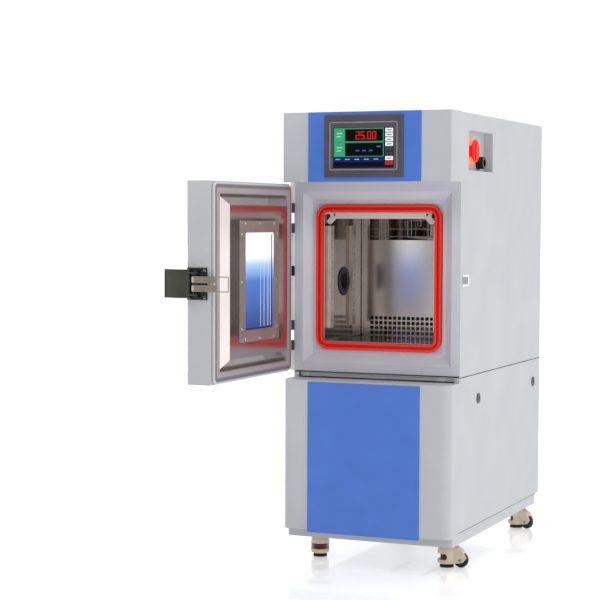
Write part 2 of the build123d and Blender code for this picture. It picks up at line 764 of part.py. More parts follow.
# Cable port: flanged sleeve through the left wall
with BuildPart() as cable_port:
    inner_wall = -opening_width / 2
    with BuildSketch(side_plane(inner_wall)):
        with Locations((port_y, port_z)):
            Circle(port_flange / 2)
    extrude(amount=3)
    chamfer(cable_port.edges().group_by(Axis.X)[-1], length=1.5)
    with BuildSketch(side_plane(inner_wall)):
        with Locations((port_y, port_z)):
            Circle(cable_sleeve / 2)
    extrude(amount=-(side - opening_width / 2) - 3)
    with BuildSketch(side_plane(-side)):
        with Locations((port_y, port_z)):
            Circle(port_flange / 2)
    extrude(amount=-3)
    with BuildSketch(side_plane(-side - 10)):
        with Locations((port_y, port_z)):
            Circle(port_bore / 2)
    extrude(amount=side, mode=Mode.SUBTRACT)
cable_port.part.label = "cable_port"
export_step(cable_port.part, "parts/cable_port.step")

# Switch recess on the right side
with BuildPart() as switch_recess:
    with BuildSketch(side_plane(side - skin)):
        with Locations((recess_y, recess_z)):
            Rectangle(recess_back - recess_front + 20, recess_top - recess_bottom + 20)
    extrude(amount=-skin)
    with BuildSketch(side_plane(side - recess_depth - skin)):
        with Locations((recess_y, recess_z)):
            Rectangle(recess_back - recess_front + 2 * skin, recess_top - recess_bottom + 2 * skin)
    extrude(amount=recess_depth)
    with BuildSketch(side_plane(side - recess_depth)):
        with Locations((recess_y, recess_z)):
            Rectangle(recess_back - recess_front, recess_top - recess_bottom)
    extrude(amount=recess_depth, mode=Mode.SUBTRACT)
switch_recess.part.label = "switch_recess"
export_step(switch_recess.part, "parts/switch_recess.step")

# Main isolator: yellow plate with a hub, and the red rotary handle that turns on it
isolator_y = 178
isolator_z = 1319
isolator_plate_size = 90
isolator_hub = 14
knob_radius = 38
knob_stem = 20
knob_seat = side - recess_depth + 3
with BuildPart() as isolator_plate:
    centre = side_plane(side - recess_depth)
    with BuildSketch(centre):
        with Locations((isolator_y, isolator_z)):
            RectangleRounded(isolator_plate_size, isolator_plate_size, 6)
    extrude(amount=3)
    with BuildSketch(side_plane(knob_seat)):
        with Locations((isolator_y, isolator_z)):
            Circle(isolator_hub)
    extrude(amount=10)
isolator_plate.part.label = "isolator_plate"
export_step(isolator_plate.part, "parts/isolator_plate.step")

with BuildPart() as isolator_knob:
    with BuildSketch(side_plane(knob_seat + seat_gap)):
        with Locations((isolator_y, isolator_z)):
            Circle(knob_stem)
    extrude(amount=20)
    with BuildSketch(side_plane(knob_seat + 18)):
        with Locations((isolator_y, isolator_z)):
            Circle(knob_radius)
    extrude(amount=5)
    fillet(isolator_knob.faces().sort_by(Axis.X)[-1].edges(), radius=2)
    with BuildSketch(side_plane(knob_seat + 20)):
        with Locations((isolator_y, isolator_z)):
            SlotOverall(2 * knob_radius - 14, 16, rotation=90)
    extrude(amount=6)
    chamfer(isolator_knob.faces().sort_by(Axis.X)[-1].edges(), length=1.5)
    with BuildSketch(side_plane(knob_seat)):
        with Locations((isolator_y, isolator_z)):
            Circle(isolator_hub + running_gap)
    extrude(amount=10 + seat_gap, mode=Mode.SUBTRACT)
isolator_knob.part.label = "isolator_knob"
export_step(isolator_knob.part, "parts/isolator_knob.step")

# Round power inlet and a pilot socket beside the isolator
inlet_y = 275
inlet_z = 1282
with BuildPart() as power_inlet:
    with BuildSketch(centre):
        with Locations((inlet_y, inlet_z)):
            RegularPolygon(26, 6)
        with Locations((isolator_y + isolator_plate_size / 2 + 14, 1351)):
            Circle(8)
    extrude(amount=5)
    with BuildSketch(side_plane(side - recess_depth + 5)):
        with Locations((inlet_y, inlet_z)):
            Circle(21)
    extrude(amount=20)
    with BuildSketch(side_plane(side - recess_depth + 8)):
        with Locations((inlet_y, inlet_z)):
            with PolarLocations(22, 12):
                Circle(2.5)
    extrude(amount=12, mode=Mode.SUBTRACT)
    with BuildSketch(side_plane(side - recess_depth + 25)):
        with Locations((inlet_y, inlet_z)):
            Circle(13)
    extrude(amount=-14, mode=Mode.SUBTRACT)
power_inlet.part.label = "power_inlet"
export_step(power_inlet.part, "parts/power_inlet.step")

# Keeper for the door latch, on the right side of the casing
keeper_y = 52
keeper_hook = 9
bail_wire = 3
pivot_lift = 12
strap_lift = 4
bail_reach = keeper_y + keeper_hook / 2 + bail_wire / 2 + seat_gap
keeper_height = 38
keeper_lift = pivot_lift + strap_lift - bail_wire / 2 - 1
with BuildPart() as latch_keeper:
    with BuildSketch(side_plane(side)):
        with Locations((keeper_y, latch_z)):
            RectangleRounded(66, keeper_height, 4)
        with Locations((keeper_y, latch_z)):
            with GridLocations(50, 24, 2, 2):
                Circle(2.2, mode=Mode.SUBTRACT)
    extrude(amount=2)
    with BuildSketch(side_plane(side + 2)):
        with Locations((keeper_y, latch_z)):
            Rectangle(keeper_hook, 26)
    extrude(amount=keeper_lift - 2)
    fillet(latch_keeper.faces().sort_by(Axis.X)[-1].edges(), radius=2)
latch_keeper.part.label = "latch_keeper"
export_step(latch_keeper.part, "parts/latch_keeper.step")

# Hinges: fixed leaves with the pin, door leaves with the middle knuckle, cream edge strip
hinge_levels = (frame_middle - hinge_spread / 2, frame_middle + hinge_spread / 2)
knuckle_length = (hinge_height - 2 * panel_gap) / 3
arm_reach = abs(hinge_x) - side
with BuildPart() as hinge_fixed_leaves:
    for level in hinge_levels:
        foot = level - hinge_height / 2
        for step in (0, 2):
            with BuildSketch(Plane.XY.offset(foot + step * (knuckle_length + panel_gap))):
                with Locations((hinge_x, hinge_y)):
                    Circle(knuckle_radius)
                with BuildLine():
                    Polyline(
                        (hinge_x - knuckle_radius, hinge_y),
                        (hinge_x - knuckle_radius, hinge_y + 6),
                        (-side - leaf, 6),
                        (-side, 6),
                        (-side, 2),
                        (hinge_x + knuckle_radius, hinge_y + 2),
                        (hinge_x + knuckle_radius, hinge_y),
                        close=True,
                    )
                make_face()
            extrude(amount=knuckle_length)
        with BuildSketch(Plane.XY.offset(foot)):
            with Locations((-side - leaf / 2, 32)):
                Rectangle(leaf, 56)
        extrude(amount=hinge_height)
        with BuildSketch(Plane.XY.offset(foot)):
            with Locations((hinge_x, hinge_y)):
                Circle(pin_radius)
        extrude(amount=hinge_height)
        with BuildSketch(side_plane(-side - leaf)):
            with Locations((34, level)):
                with GridLocations(26, 70, 2, 2):
                    Circle(4)
        extrude(amount=-1.6, taper=20)
hinge_fixed_leaves.part.label = "hinge_fixed_leaves"
export_step(hinge_fixed_leaves.part, "parts/hinge_fixed_leaves.step")

with BuildPart() as hinge_door_leaves:
    for level in hinge_levels:
        foot = level - hinge_height / 2
        with BuildSketch(door_level(foot + knuckle_length + panel_gap)):
            with Locations((hinge_x, hinge_y)):
                Circle(knuckle_radius)
            with BuildLine():
                Polyline(
                    (hinge_x, hinge_y + knuckle_radius),
                    (hinge_x - knuckle_radius, hinge_y),
                    (hinge_x - knuckle_radius, hinge_y - 8),
                    (-side - leaf, door_inner - 32),
                    (-side, door_inner - 32),
                    (-side, door_inner - 8),
                    (hinge_x + knuckle_radius, hinge_y),
                    close=True,
                )
            make_face()
        extrude(amount=knuckle_length)
        with BuildSketch(door_level(foot)):
            with Locations((-side - leaf / 2, door_inner - 46)):
                Rectangle(leaf, 52)
        extrude(amount=hinge_height)
        with BuildSketch(door_level(foot)):
            with Locations((hinge_x, hinge_y)):
                Circle(pin_radius + running_gap)
        extrude(amount=hinge_height, mode=Mode.SUBTRACT)
hinge_door_leaves.part.label = "hinge_door_leaves"
export_step(hinge_door_leaves.part, "parts/hinge_door_leaves.step")

# The strip carries a low block where the door's heating cable crosses over
edge_strip_width = 16
grommet_z = 908
with BuildPart() as hinge_edge_strip:
    strip_levels = (
        (frame_bottom, hinge_levels[0] - hinge_height / 2 - 1),
        (hinge_levels[0] + hinge_height / 2 + 1, hinge_levels[1] - hinge_height / 2 - 1),
        (hinge_levels[1] + hinge_height / 2 + 1, frame_top),
    )
    for low, high in strip_levels:
        with BuildSketch(Plane.XY.offset(low)):
            with Locations((-side - edge_strip_width / 2, 8)):
                Rectangle(edge_strip_width, 20)
        extrude(amount=high - low)
    fillet(hinge_edge_strip.edges().filter_by(Axis.Z).group_by(Axis.X)[0], radius=2)
    with BuildSketch(Plane.XY.offset(grommet_z - 9)):
        with Locations((-side - edge_strip_width / 2, -2.5)):
            Rectangle(edge_strip_width - 1, 1)
    extrude(amount=18)
hinge_edge_strip.part.label = "hinge_edge_strip"
export_step(hinge_edge_strip.part, "parts/hinge_edge_strip.step")

# Door shell: folded outer skin, open towards the chamber, with a rounded return edge
door_return = 9
with BuildPart() as door_shell:
    with BuildSketch(door_plane(door_inner)):
        with Locations((0, door_middle)):
            Rectangle(door_width, door_height)
    extrude(amount=door_thickness)
    fillet(door_shell.edges().filter_by(Axis.X), radius=3)
    fillet(door_shell.faces().sort_by(Axis.X)[-1].edges(), radius=2.5)
    with BuildSketch(door_plane(door_inner - skin)):
        with Locations((0, door_middle)):
            Rectangle(door_width - 2 * skin, door_height - 2 * skin)
    extrude(amount=door_thickness - 2 * skin, mode=Mode.SUBTRACT)
    with BuildSketch(door_plane(door_inner)):
        with Locations((0, door_middle)):
            Rectangle(door_width - 2 * door_return, door_height - 2 * door_return)
    extrude(amount=skin, mode=Mode.SUBTRACT)
    with BuildSketch(door_plane(door_inner)):
        with Locations((0, door_middle)):
            RectangleRounded(window_width, window_height, 12)
    extrude(amount=door_thickness, mode=Mode.SUBTRACT)
door_shell.part.label = "door_shell"
export_step(door_shell.part, "parts/door_shell.step")

# Door core: foam that fills the shell around the window tunnel
tunnel_wall = 2
with BuildPart() as door_core:
    with BuildSketch(door_plane(door_inner - skin)):
        with Locations((0, door_middle)):
            Rectangle(door_width - 2 * skin, door_height - 2 * skin)
            RectangleRounded(window_width + 2 * tunnel_wall, window_height + 2 * tunnel_wall, 14, mode=Mode.SUBTRACT)
    extrude(amount=door_thickness - 2 * skin)
door_core.part.label = "door_core"
export_step(door_core.part, "parts/door_core.step")

# Door inner panel: stainless pan raised as a shallow pyramid, with the window tunnel
pan_flange = 10
with BuildPart() as door_inner_panel:
    with BuildSketch(door_plane(door_inner)):
        with Locations((0, door_middle)):
            Rectangle(door_width - 2 * door_return - 1, door_height - 2 * door_return - 1)
    extrude(amount=skin)
    with BuildSketch(door_plane(door_inner)):
        with Locations((0, door_middle)):
            Rectangle(plug_width + 2 * plug_slope, plug_height + 2 * plug_slope)
    with BuildSketch(door_plane(door_inner + plug_rise)):
        with Locations((0, door_middle)):
            Rectangle(plug_width, plug_height)
    loft()
    with BuildSketch(door_plane(door_inner - skin)):
        with Locations((0, door_middle)):
            Rectangle(plug_width + 2 * plug_slope - 4, plug_height + 2 * plug_slope - 4)
    with BuildSketch(door_plane(door_inner + plug_rise - skin)):
        with Locations((0, door_middle)):
            Rectangle(plug_width - 2, plug_height - 2)
    loft(mode=Mode.SUBTRACT)
    with BuildSketch(door_plane(door_inner + plug_rise)):
        with Locations((0, door_middle)):
            RectangleRounded(window_width + 2 * tunnel_wall, window_height + 2 * tunnel_wall, 14)
    extrude(amount=plug_rise + door_thickness - skin)
    with BuildSketch(door_plane(door_inner + plug_rise)):
        with Locations((0, door_middle)):
            RectangleRounded(window_width, window_height, 12)
    extrude(amount=plug_rise + door_thickness, mode=Mode.SUBTRACT)
door_inner_panel.part.label = "door_inner_panel"
export_step(door_inner_panel.part, "parts/door_inner_panel.step")

# Door seal: grey bulb strip with a groove in its outer wall, pressed on the frame's flat face
seal_outer_width = door_width - 2 * seal_inset
seal_outer_height = door_height - 2 * seal_inset
seal_height = door_gap - seat_gap
with BuildPart() as door_seal:
    with BuildSketch(door_plane(door_inner)):
        with Locations((0, door_middle)):
            RectangleRounded(seal_outer_width, seal_outer_height, 20)
            RectangleRounded(
                plug_width + 2 * plug_slope + 2, plug_height + 2 * plug_slope + 2, 3, mode=Mode.SUBTRACT
            )
    extrude(amount=-seal_height)
    fillet(door_seal.faces().sort_by(Axis.X)[-1].edges(), radius=4)
    with BuildSketch(door_plane(door_inner + 1.5)):
        with Locations((0, door_middle)):
            RectangleRounded(seal_outer_width + 2, seal_outer_height + 2, 21)
            RectangleRounded(seal_outer_width - 10, seal_outer_height - 10, 16, mode=Mode.SUBTRACT)
    extrude(amount=-3.5, mode=Mode.SUBTRACT)
door_seal.part.label = "door_seal"
export_step(door_seal.part, "parts/door_seal.step")

# Window frames on both faces of the door, with dome-headed screws on the inner one
window_screw_radius = 4
with BuildPart() as window_frames:
    inner_face = door_inner + plug_rise
    with BuildSketch(door_plane(inner_face)):
        with Locations((0, door_middle)):
            RectangleRounded(window_frame_width, window_frame_height, 8)
            RectangleRounded(window_width - 6, window_height - 6, 9, mode=Mode.SUBTRACT)
    extrude(amount=-2)
    with BuildSketch(door_plane(inner_face + 2)):
        with Locations((0, door_middle)):
            with GridLocations(110, 372, 3, 2):
                Circle(window_screw_radius)
            with GridLocations(272, 152, 2, 3):
                Circle(window_screw_radius)
    extrude(amount=-1.8, taper=30)
    with BuildSketch(door_plane(door_outer)):
        with Locations((0, door_middle)):
            RectangleRounded(window_frame_width, window_frame_height, 20)
            RectangleRounded(window_width - 6, window_height - 6, 9, mode=Mode.SUBTRACT)
    extrude(amount=4)
    fillet(window_frames.faces().sort_by(Axis.X)[0].edges(), radius=2)
window_frames.part.label = "window_frames"
export_step(window_frames.part, "parts/window_frames.step")

# Three panes in the window tunnel, held apart by the frames and a spacer lip
pane = 5
with BuildPart() as window_panes:
    for y in (inner_face - seat_gap - pane, -40, door_outer + seat_gap + pane):
        with BuildSketch(door_plane(y)):
            with Locations((0, door_middle)):
                RectangleRounded(window_width - 2 * seat_gap, window_height - 2 * seat_gap, 11.5)
        extrude(amount=pane if y < -60 else -pane)
window_panes.part.label = "window_panes"
export_step(window_panes.part, "parts/window_panes.step")

# Over-centre latch on the door's free edge
latch_y = -57
latch_height = 100
latch_width = 69
latch_throw = 9
latch_pin = 3
lug_inner = 38
lug_outer = 42
pivot_x = side + pivot_lift
with BuildPart() as latch_base:
    with BuildSketch(door_edge(side)):
        with Locations((latch_y, latch_z)):
            Rectangle(latch_width, latch_height)
        with Locations((latch_y, latch_z)):
            with GridLocations(latch_width - 14, latch_height - 14, 2, 2):
                Circle(2.5, mode=Mode.SUBTRACT)
    extrude(amount=4)
    for z in (-lug_outer, lug_inner):
        with BuildSketch(door_level(latch_z + z)):
            with Locations((side + pivot_lift / 2 + 1, latch_y)):
                Rectangle(pivot_lift - 2, 14)
            with Locations((pivot_x, latch_y)):
                Circle(7)
        extrude(amount=lug_outer - lug_inner)
    with BuildSketch(door_level(latch_z - lug_outer)):
        with Locations((pivot_x, latch_y)):
            Circle(latch_pin)
    extrude(amount=2 * lug_outer)
    for z in (-latch_height / 2 + 7, latch_height / 2 - 7):
        with BuildSketch(door_edge(side + 4)):
            with Locations((latch_y - latch_width / 2 + 7, latch_z + z), (latch_y + latch_width / 2 - 7, latch_z + z)):
                Circle(4.5)
        extrude(amount=0.8, taper=25)
latch_base.part.label = "latch_base"
export_step(latch_base.part, "parts/latch_base.step")

# Latch handle: a curved paddle on two cheeks, which also carry the bail's pin
cheek_inner = 32
cheek_outer = 37
paddle_length = 111
paddle_height = 90
paddle_thickness = 5
bail_y = latch_y - latch_throw
with BuildPart() as latch_handle:
    with BuildSketch(door_level(latch_z - paddle_height / 2)) as paddle:
        with BuildLine():
            tip_y = latch_y - paddle_length
            outer_curve = ThreePointArc(
                (side + 5, latch_y - 22), (side + 5 + 6, latch_y - 70), (side + 5 - 2, tip_y)
            )
            Line(outer_curve @ 1, (side + 5 - 2 + 4, tip_y - 2))
            inner_curve = ThreePointArc(
                (side + 5 + 2, tip_y + 6), (side + 5 + 12, latch_y - 68), (side + 5 + 9, latch_y - 22)
            )
            Line((side + 5 - 2 + 4, tip_y - 2), inner_curve @ 0)
            Line(inner_curve @ 1, outer_curve @ 0)
        make_face()
    extrude(amount=paddle_height)
    for z in (-cheek_outer, cheek_inner):
        with BuildSketch(door_level(latch_z + z)):
            with BuildLine():
                Polyline(
                    (side + 5, latch_y - 24),
                    (side + 14, latch_y - 30),
                    (pivot_x + 7, latch_y - 4),
                    (pivot_x + 5, latch_y + 6),
                    (pivot_x - 5, latch_y + 6),
                    (pivot_x - 7, latch_y - 4),
                    close=True,
                )
            make_face()
        extrude(amount=cheek_outer - cheek_inner)
    with BuildSketch(door_level(latch_z - cheek_outer)):
        with Locations((pivot_x, bail_y)):
            Circle(latch_pin - 0.5)
    extrude(amount=2 * cheek_outer)
    with BuildSketch(door_level(latch_z - paddle_height)):
        with Locations((pivot_x, latch_y)):
            Circle(latch_pin + running_gap)
    extrude(amount=2 * paddle_height, mode=Mode.SUBTRACT)
latch_handle.part.label = "latch_handle"
export_step(latch_handle.part, "parts/latch_handle.step")

# Latch bail: two knuckles with flat straps and a wire loop that hooks behind the keeper
strap_inner = 3
strap_outer = 24
strap_thickness = 2
loop_half = 23
strap_end = 16
with BuildPart() as latch_bail:
    for z in (-strap_outer, strap_inner):
        with BuildSketch(door_level(latch_z + z)):
            with Locations((pivot_x, bail_y)):
                Circle(latch_pin + 2)
                Circle(latch_pin - 0.5 + running_gap, mode=Mode.SUBTRACT)
            with Locations((pivot_x + strap_lift, (bail_y + 4 + strap_end) / 2)):
                Rectangle(strap_thickness, strap_end - bail_y - 4)
        extrude(amount=strap_outer - strap_inner)
    with BuildLine(Plane(door_edge(pivot_x + strap_lift).origin, x_dir=(1, 0, 0), z_dir=(0, -1, 0))) as loop:
        Polyline(
            (strap_end - 14, latch_z - loop_half),
            (bail_reach, latch_z - loop_half),
            (bail_reach, latch_z + loop_half),
            (strap_end - 14, latch_z + loop_half),
            close=True,
        )
        fillet(loop.vertices(), radius=4)
    with BuildSketch(Plane(loop.line @ 0, z_dir=loop.line % 0)):
        Circle(bail_wire / 2)
    sweep()
latch_bail.part.label = "latch_bail"
export_step(latch_bail.part, "parts/latch_bail.step")

# Refrigeration set in the machine space: compressor, condenser coil and its fan
compressor_x = -110
compressor_y = 520
compressor_radius = 68
with BuildPart() as compressor:
    with BuildSketch(Plane.XY.offset(base_wall)):
        with Locations((compressor_x, compressor_y)):
            RectangleRounded(170, 170, 20)
    extrude(amount=5)
    with BuildSketch(Plane.XY.offset(base_wall + 5)):
        with Locations((compressor_x, compressor_y)):
            Circle(compressor_radius)
    extrude(amount=215)
    fillet(compressor.faces().sort_by(Axis.Z)[-1].edges(), radius=40)
    with BuildSketch(Plane.XY.offset(base_wall + 5)):
        with Locations((compressor_x + compressor_radius + 28, compressor_y)):
            Circle(24)
    extrude(amount=140)
    with BuildSketch(Plane.XY.offset(base_wall + 60)):
        with Locations((compressor_x + compressor_radius + 12, compressor_y)):
            Rectangle(30, 16)
    extrude(amount=10)
compressor.part.label = "compressor"
export_step(compressor.part, "parts/compressor.step")

condenser_y = 850
condenser_width = 380
condenser_height = 330
condenser_depth = 60
with BuildPart() as condenser:
    with BuildSketch(Plane.XY.offset(base_wall)):
        with Locations((0, condenser_y)):
            with GridLocations(condenser_width / 24, 0, 24, 1):
                Rectangle(1, condenser_depth)
    extrude(amount=condenser_height)
    with BuildSketch(side_plane(-condenser_width / 2)):
        with Locations((condenser_y, base_wall + condenser_height / 2)):
            with GridLocations(condenser_depth / 2, condenser_height / 6, 2, 6):
                Circle(5)
    extrude(amount=condenser_width)
    shroud_back = condenser_y - condenser_depth / 2
    with BuildSketch(front_plane(shroud_back)):
        with Locations((0, base_wall + condenser_height / 2)):
            Rectangle(condenser_width, condenser_height)
            Circle(135, mode=Mode.SUBTRACT)
    extrude(amount=2)
    with BuildSketch(front_plane(shroud_back)):
        with Locations((0, base_wall + condenser_height / 2)):
            Rectangle(condenser_width, 14)
            Circle(28)
    extrude(amount=6)
    with BuildSketch(front_plane(shroud_back - 6)):
        with Locations((0, base_wall + condenser_height / 2)):
            Circle(5)
    extrude(amount=40)
condenser.part.label = "condenser"
export_step(condenser.part, "parts/condenser.step")

condenser_fan_radius = 125
condenser_fan_y = shroud_back - 12
with BuildPart() as condenser_fan:
    fan_face = front_plane(condenser_fan_y)
    with BuildSketch(fan_face):
        with Locations((0, base_wall + condenser_height / 2)):
            Circle(30)
    extrude(amount=24)
    for blade in range(5):
        angle = radians(blade * 72)
        blade_plane = Plane(
            origin=(20 * sin(angle), condenser_fan_y - 12, base_wall + condenser_height / 2 + 20 * cos(angle)),
            x_dir=(cos(angle), 0.55, -sin(angle)),
            z_dir=(sin(angle), 0, cos(angle)),
        )
        with BuildSketch(blade_plane):
            Rectangle(44, 2)
        with BuildSketch(blade_plane.offset(condenser_fan_radius - 21)):
            Rectangle(30, 1.5)
        loft()
    with BuildSketch(fan_face):
        with Locations((0, base_wall + condenser_height / 2)):
            Circle(5 + running_gap)
    extrude(amount=30, mode=Mode.SUBTRACT)
condenser_fan.part.label = "condenser_fan"
export_step(condenser_fan.part, "parts/condenser_fan.step")

# Levelling casters: bolted plates with hollow kingpins, swivel housings, wheels and screw feet
caster_height = 92
caster_plate = 73
plate_height = 5
kingpin_radius = 13
kingpin_length = 34
stem_radius = 6
housing_radius = 32
housing_top = -12
ring_radius = 22
ring_height = 24
ring_bottom = -67
window_reach = 60
pad_radius = 24
pad_height = 8
wheel_radius_caster = 25
wheel_offset = 50
wheel_width = 17
wheel_z = wheel_radius_caster + 0.5 - caster_height
foot_lift = 4
housing_bottom = pad_height + foot_lift + panel_gap - caster_height
caster_angles = {"front_left": 113, "front_right": 4, "rear_left": 75, "rear_right": -20}
with BuildPart() as caster_plates:
    for x, y in caster_spots.values():
        with BuildSketch(Plane.XY):
            with Locations((x, y)):
                RectangleRounded(caster_plate, caster_plate, 8)
                with GridLocations(caster_bolt_pitch, caster_bolt_pitch, 2, 2):
                    Circle(caster_bolt / 2, mode=Mode.SUBTRACT)
        extrude(amount=-plate_height)
        with BuildSketch(Plane.XY.offset(-plate_height)):
            with Locations((x, y)):
                Circle(kingpin_radius)
        extrude(amount=-kingpin_length)
        with BuildSketch(Plane.XY.offset(-plate_height - kingpin_length)):
            with Locations((x, y)):
                Circle(stem_radius + 1)
        extrude(amount=kingpin_length + plate_height - 1, mode=Mode.SUBTRACT)
caster_plates.part.label = "caster_plates"
export_step(caster_plates.part, "parts/caster_plates.step")

for corner, (caster_x, caster_y) in caster_spots.items():
    heading = radians(caster_angles[corner])
    trail = (cos(heading), sin(heading), 0)
    swivel = Plane(origin=(caster_x, caster_y, 0), x_dir=trail, z_dir=(0, 0, 1))
    side_view = Plane(origin=(caster_x, caster_y, 0), x_dir=trail, z_dir=(sin(heading), -cos(heading), 0))

    with BuildPart() as caster_housing:
        with BuildSketch(side_view):
            with BuildLine():
                Polyline(
                    (0, housing_top + 6),
                    (21, housing_top + 6),
                    (21, housing_top - 6),
                )
                shoulder = ThreePointArc(
                    (21, housing_top - 6), (29, housing_top - 16), (housing_radius, housing_top - 30)
                )
                Polyline(
                    shoulder @ 1,
                    (housing_radius, housing_bottom + 4),
                    (housing_radius - 4, housing_bottom),
                    (0, housing_bottom),
                    (0, housing_top + 6),
                )
            make_face()
        revolve(axis=Axis((caster_x, caster_y, 0), (0, 0, 1)))
        with BuildSketch(side_view):
            with BuildLine():
                fender = ThreePointArc(
                    (18, housing_top - 4), (wheel_offset, housing_top - 18), (wheel_offset + 21, wheel_z + 8)
                )
                Polyline(
                    fender @ 1,
                    (wheel_offset + 10, wheel_z - 6),
                    (wheel_offset - 6, wheel_z - 10),
                    (18, housing_bottom + 2),
                    (18, housing_top - 4),
                )
            make_face()
        extrude(amount=16, both=True)
        with BuildSketch(side_view):
            with Locations((wheel_offset, wheel_z)):
                Circle(wheel_radius_caster + 1.5)
        extrude(amount=wheel_width / 2 + 1, both=True, mode=Mode.SUBTRACT)
        with BuildSketch(swivel.offset(ring_bottom - 0.5)):
            Circle(ring_radius + 0.5)
        extrude(amount=ring_height + 1, mode=Mode.SUBTRACT)
        with BuildSketch(side_view):
            with Locations((8 - window_reach / 2, ring_bottom + ring_height / 2)):
                RectangleRounded(window_reach, ring_height - 3, 9)
        extrude(amount=housing_radius + 1, both=True, mode=Mode.SUBTRACT)
        with BuildSketch(swivel.offset(housing_bottom)):
            Circle(stem_radius + 1)
        extrude(amount=-housing_bottom - kingpin_length, mode=Mode.SUBTRACT)
        with BuildSketch(swivel.offset(-plate_height - kingpin_length - 1)):
            Circle(kingpin_radius + running_gap)
        extrude(amount=60, mode=Mode.SUBTRACT)
        with BuildSketch(side_view):
            with Locations((wheel_offset, wheel_z)):
                Circle(4)
        extrude(amount=16, both=True)
    caster_housing.part.label = f"caster_housing_{corner}"
    export_step(caster_housing.part, f"parts/caster_housing_{corner}.step")

    with BuildPart() as caster_wheel:
        with BuildSketch(side_view):
            with Locations((wheel_offset, wheel_z)):
                Circle(wheel_radius_caster)
                Circle(4 + running_gap, mode=Mode.SUBTRACT)
        extrude(amount=wheel_width / 2, both=True)
        outer_rims = caster_wheel.edges().filter_by(GeomType.CIRCLE).group_by(SortBy.RADIUS)[-1]
        fillet(outer_rims, radius=3)
    caster_wheel.part.label = f"caster_wheel_{corner}"
    export_step(caster_wheel.part, f"parts/caster_wheel_{corner}.step")

    with BuildPart() as adjusting_ring:
        with BuildSketch(swivel.offset(ring_bottom)):
            Circle(ring_radius)
            with PolarLocations(ring_radius + 0.6, 24):
                Circle(1.6, mode=Mode.SUBTRACT)
            Circle(stem_radius + running_gap, mode=Mode.SUBTRACT)
        extrude(amount=ring_height)
    adjusting_ring.part.label = f"adjusting_ring_{corner}"
    export_step(adjusting_ring.part, f"parts/adjusting_ring_{corner}.step")

    with BuildPart() as levelling_foot:
        with BuildSketch(swivel.offset(-caster_height)):
            Circle(pad_radius)
        pad = extrude(amount=pad_height)
        chamfer(pad.edges().group_by(Axis.Z)[-1], length=2)
        with BuildSketch(swivel.offset(-caster_height + pad_height)):
            Circle(stem_radius)
        extrude(amount=caster_height - pad_height - plate_height - foot_lift - 2)
    levelling_foot.part.label = f"levelling_foot_{corner}"
    export_step(levelling_foot.part, f"parts/levelling_foot_{corner}.step")
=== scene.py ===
"""Environmental test chamber: finishes, small fasteners, screen picture, floor, light and camera.

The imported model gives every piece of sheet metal, glass, rubber and moulding. This script dresses
those pieces and adds what is too fine for them. All lengths are in metres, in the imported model's
own frame.
"""

import logging
import math
from dataclasses import dataclass, field
from enum import Enum

import bmesh
import bpy
import numpy as np
from mathutils import Matrix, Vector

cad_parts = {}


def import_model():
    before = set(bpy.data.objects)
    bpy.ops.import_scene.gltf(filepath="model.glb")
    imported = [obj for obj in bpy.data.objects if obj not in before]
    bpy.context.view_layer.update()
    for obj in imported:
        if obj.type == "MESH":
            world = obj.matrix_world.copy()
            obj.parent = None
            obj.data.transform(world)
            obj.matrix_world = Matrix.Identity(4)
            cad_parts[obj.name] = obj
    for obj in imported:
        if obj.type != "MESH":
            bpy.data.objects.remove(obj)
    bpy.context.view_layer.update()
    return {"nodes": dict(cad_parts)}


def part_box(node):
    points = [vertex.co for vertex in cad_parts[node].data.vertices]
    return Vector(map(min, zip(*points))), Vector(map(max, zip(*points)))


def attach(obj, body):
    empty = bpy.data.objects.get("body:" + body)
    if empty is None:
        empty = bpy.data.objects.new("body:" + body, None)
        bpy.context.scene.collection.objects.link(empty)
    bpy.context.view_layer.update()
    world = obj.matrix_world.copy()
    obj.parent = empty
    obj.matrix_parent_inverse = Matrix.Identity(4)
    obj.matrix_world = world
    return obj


Tree = bpy.types.NodeTree
Socket = bpy.types.NodeSocket

log = logging.getLogger("test_chamber")

# Height of the undersides of the levelling feet
FLOOR = -0.092
# Points closer than WELD become one, edges shorter than SLIVER go, folds over SHARP_DEGREES stay crisp
WELD = 1e-6
SLIVER = 1e-7
SHARP_DEGREES = 38
MM_PER_METRE = 1000
# Places of the Mix node's two values and two colours in its one list of inputs
MIX_VALUES = (2, 3)
MIX_COLOURS = (6, 7)
# Each caster's corner, its kingpin's place, and the way it trails in degrees from +X
CASTERS = (
    ("front_left", (-0.234, 0.079), 113.0),
    ("front_right", (0.234, 0.079), 4.0),
    ("rear_left", (-0.234, 0.905), 75.0),
    ("rear_right", (0.234, 0.905), -20.0),
)


class Body(str, Enum):
    """The moving groups that the added pieces ride on."""

    CABINET = "cabinet"
    DOOR = "door"
    BAIL = "latch_bail"


class Facing(Enum):
    """The way a small part's head looks, as (right, up, out) unit rows."""

    FRONT = ((1, 0, 0), (0, 0, 1), (0, -1, 0))
    RIGHT = ((0, 1, 0), (0, 0, 1), (1, 0, 0))
    DOWN = ((1, 0, 0), (0, -1, 0), (0, 0, -1))


def linear(code: str) -> tuple[float, float, float, float]:
    """Turns an sRGB hex colour to linear light.

    Args:
        code: six hex digits after a hash.

    Returns:
        Linear red, green, blue and an alpha of one.
    """
    parts = np.array([int(code[i : i + 2], 16) for i in (1, 3, 5)]) / 255
    bright = np.where(parts <= 0.04045, parts / 12.92, ((parts + 0.055) / 1.055) ** 2.4)
    return (*map(float, bright), 1.0)


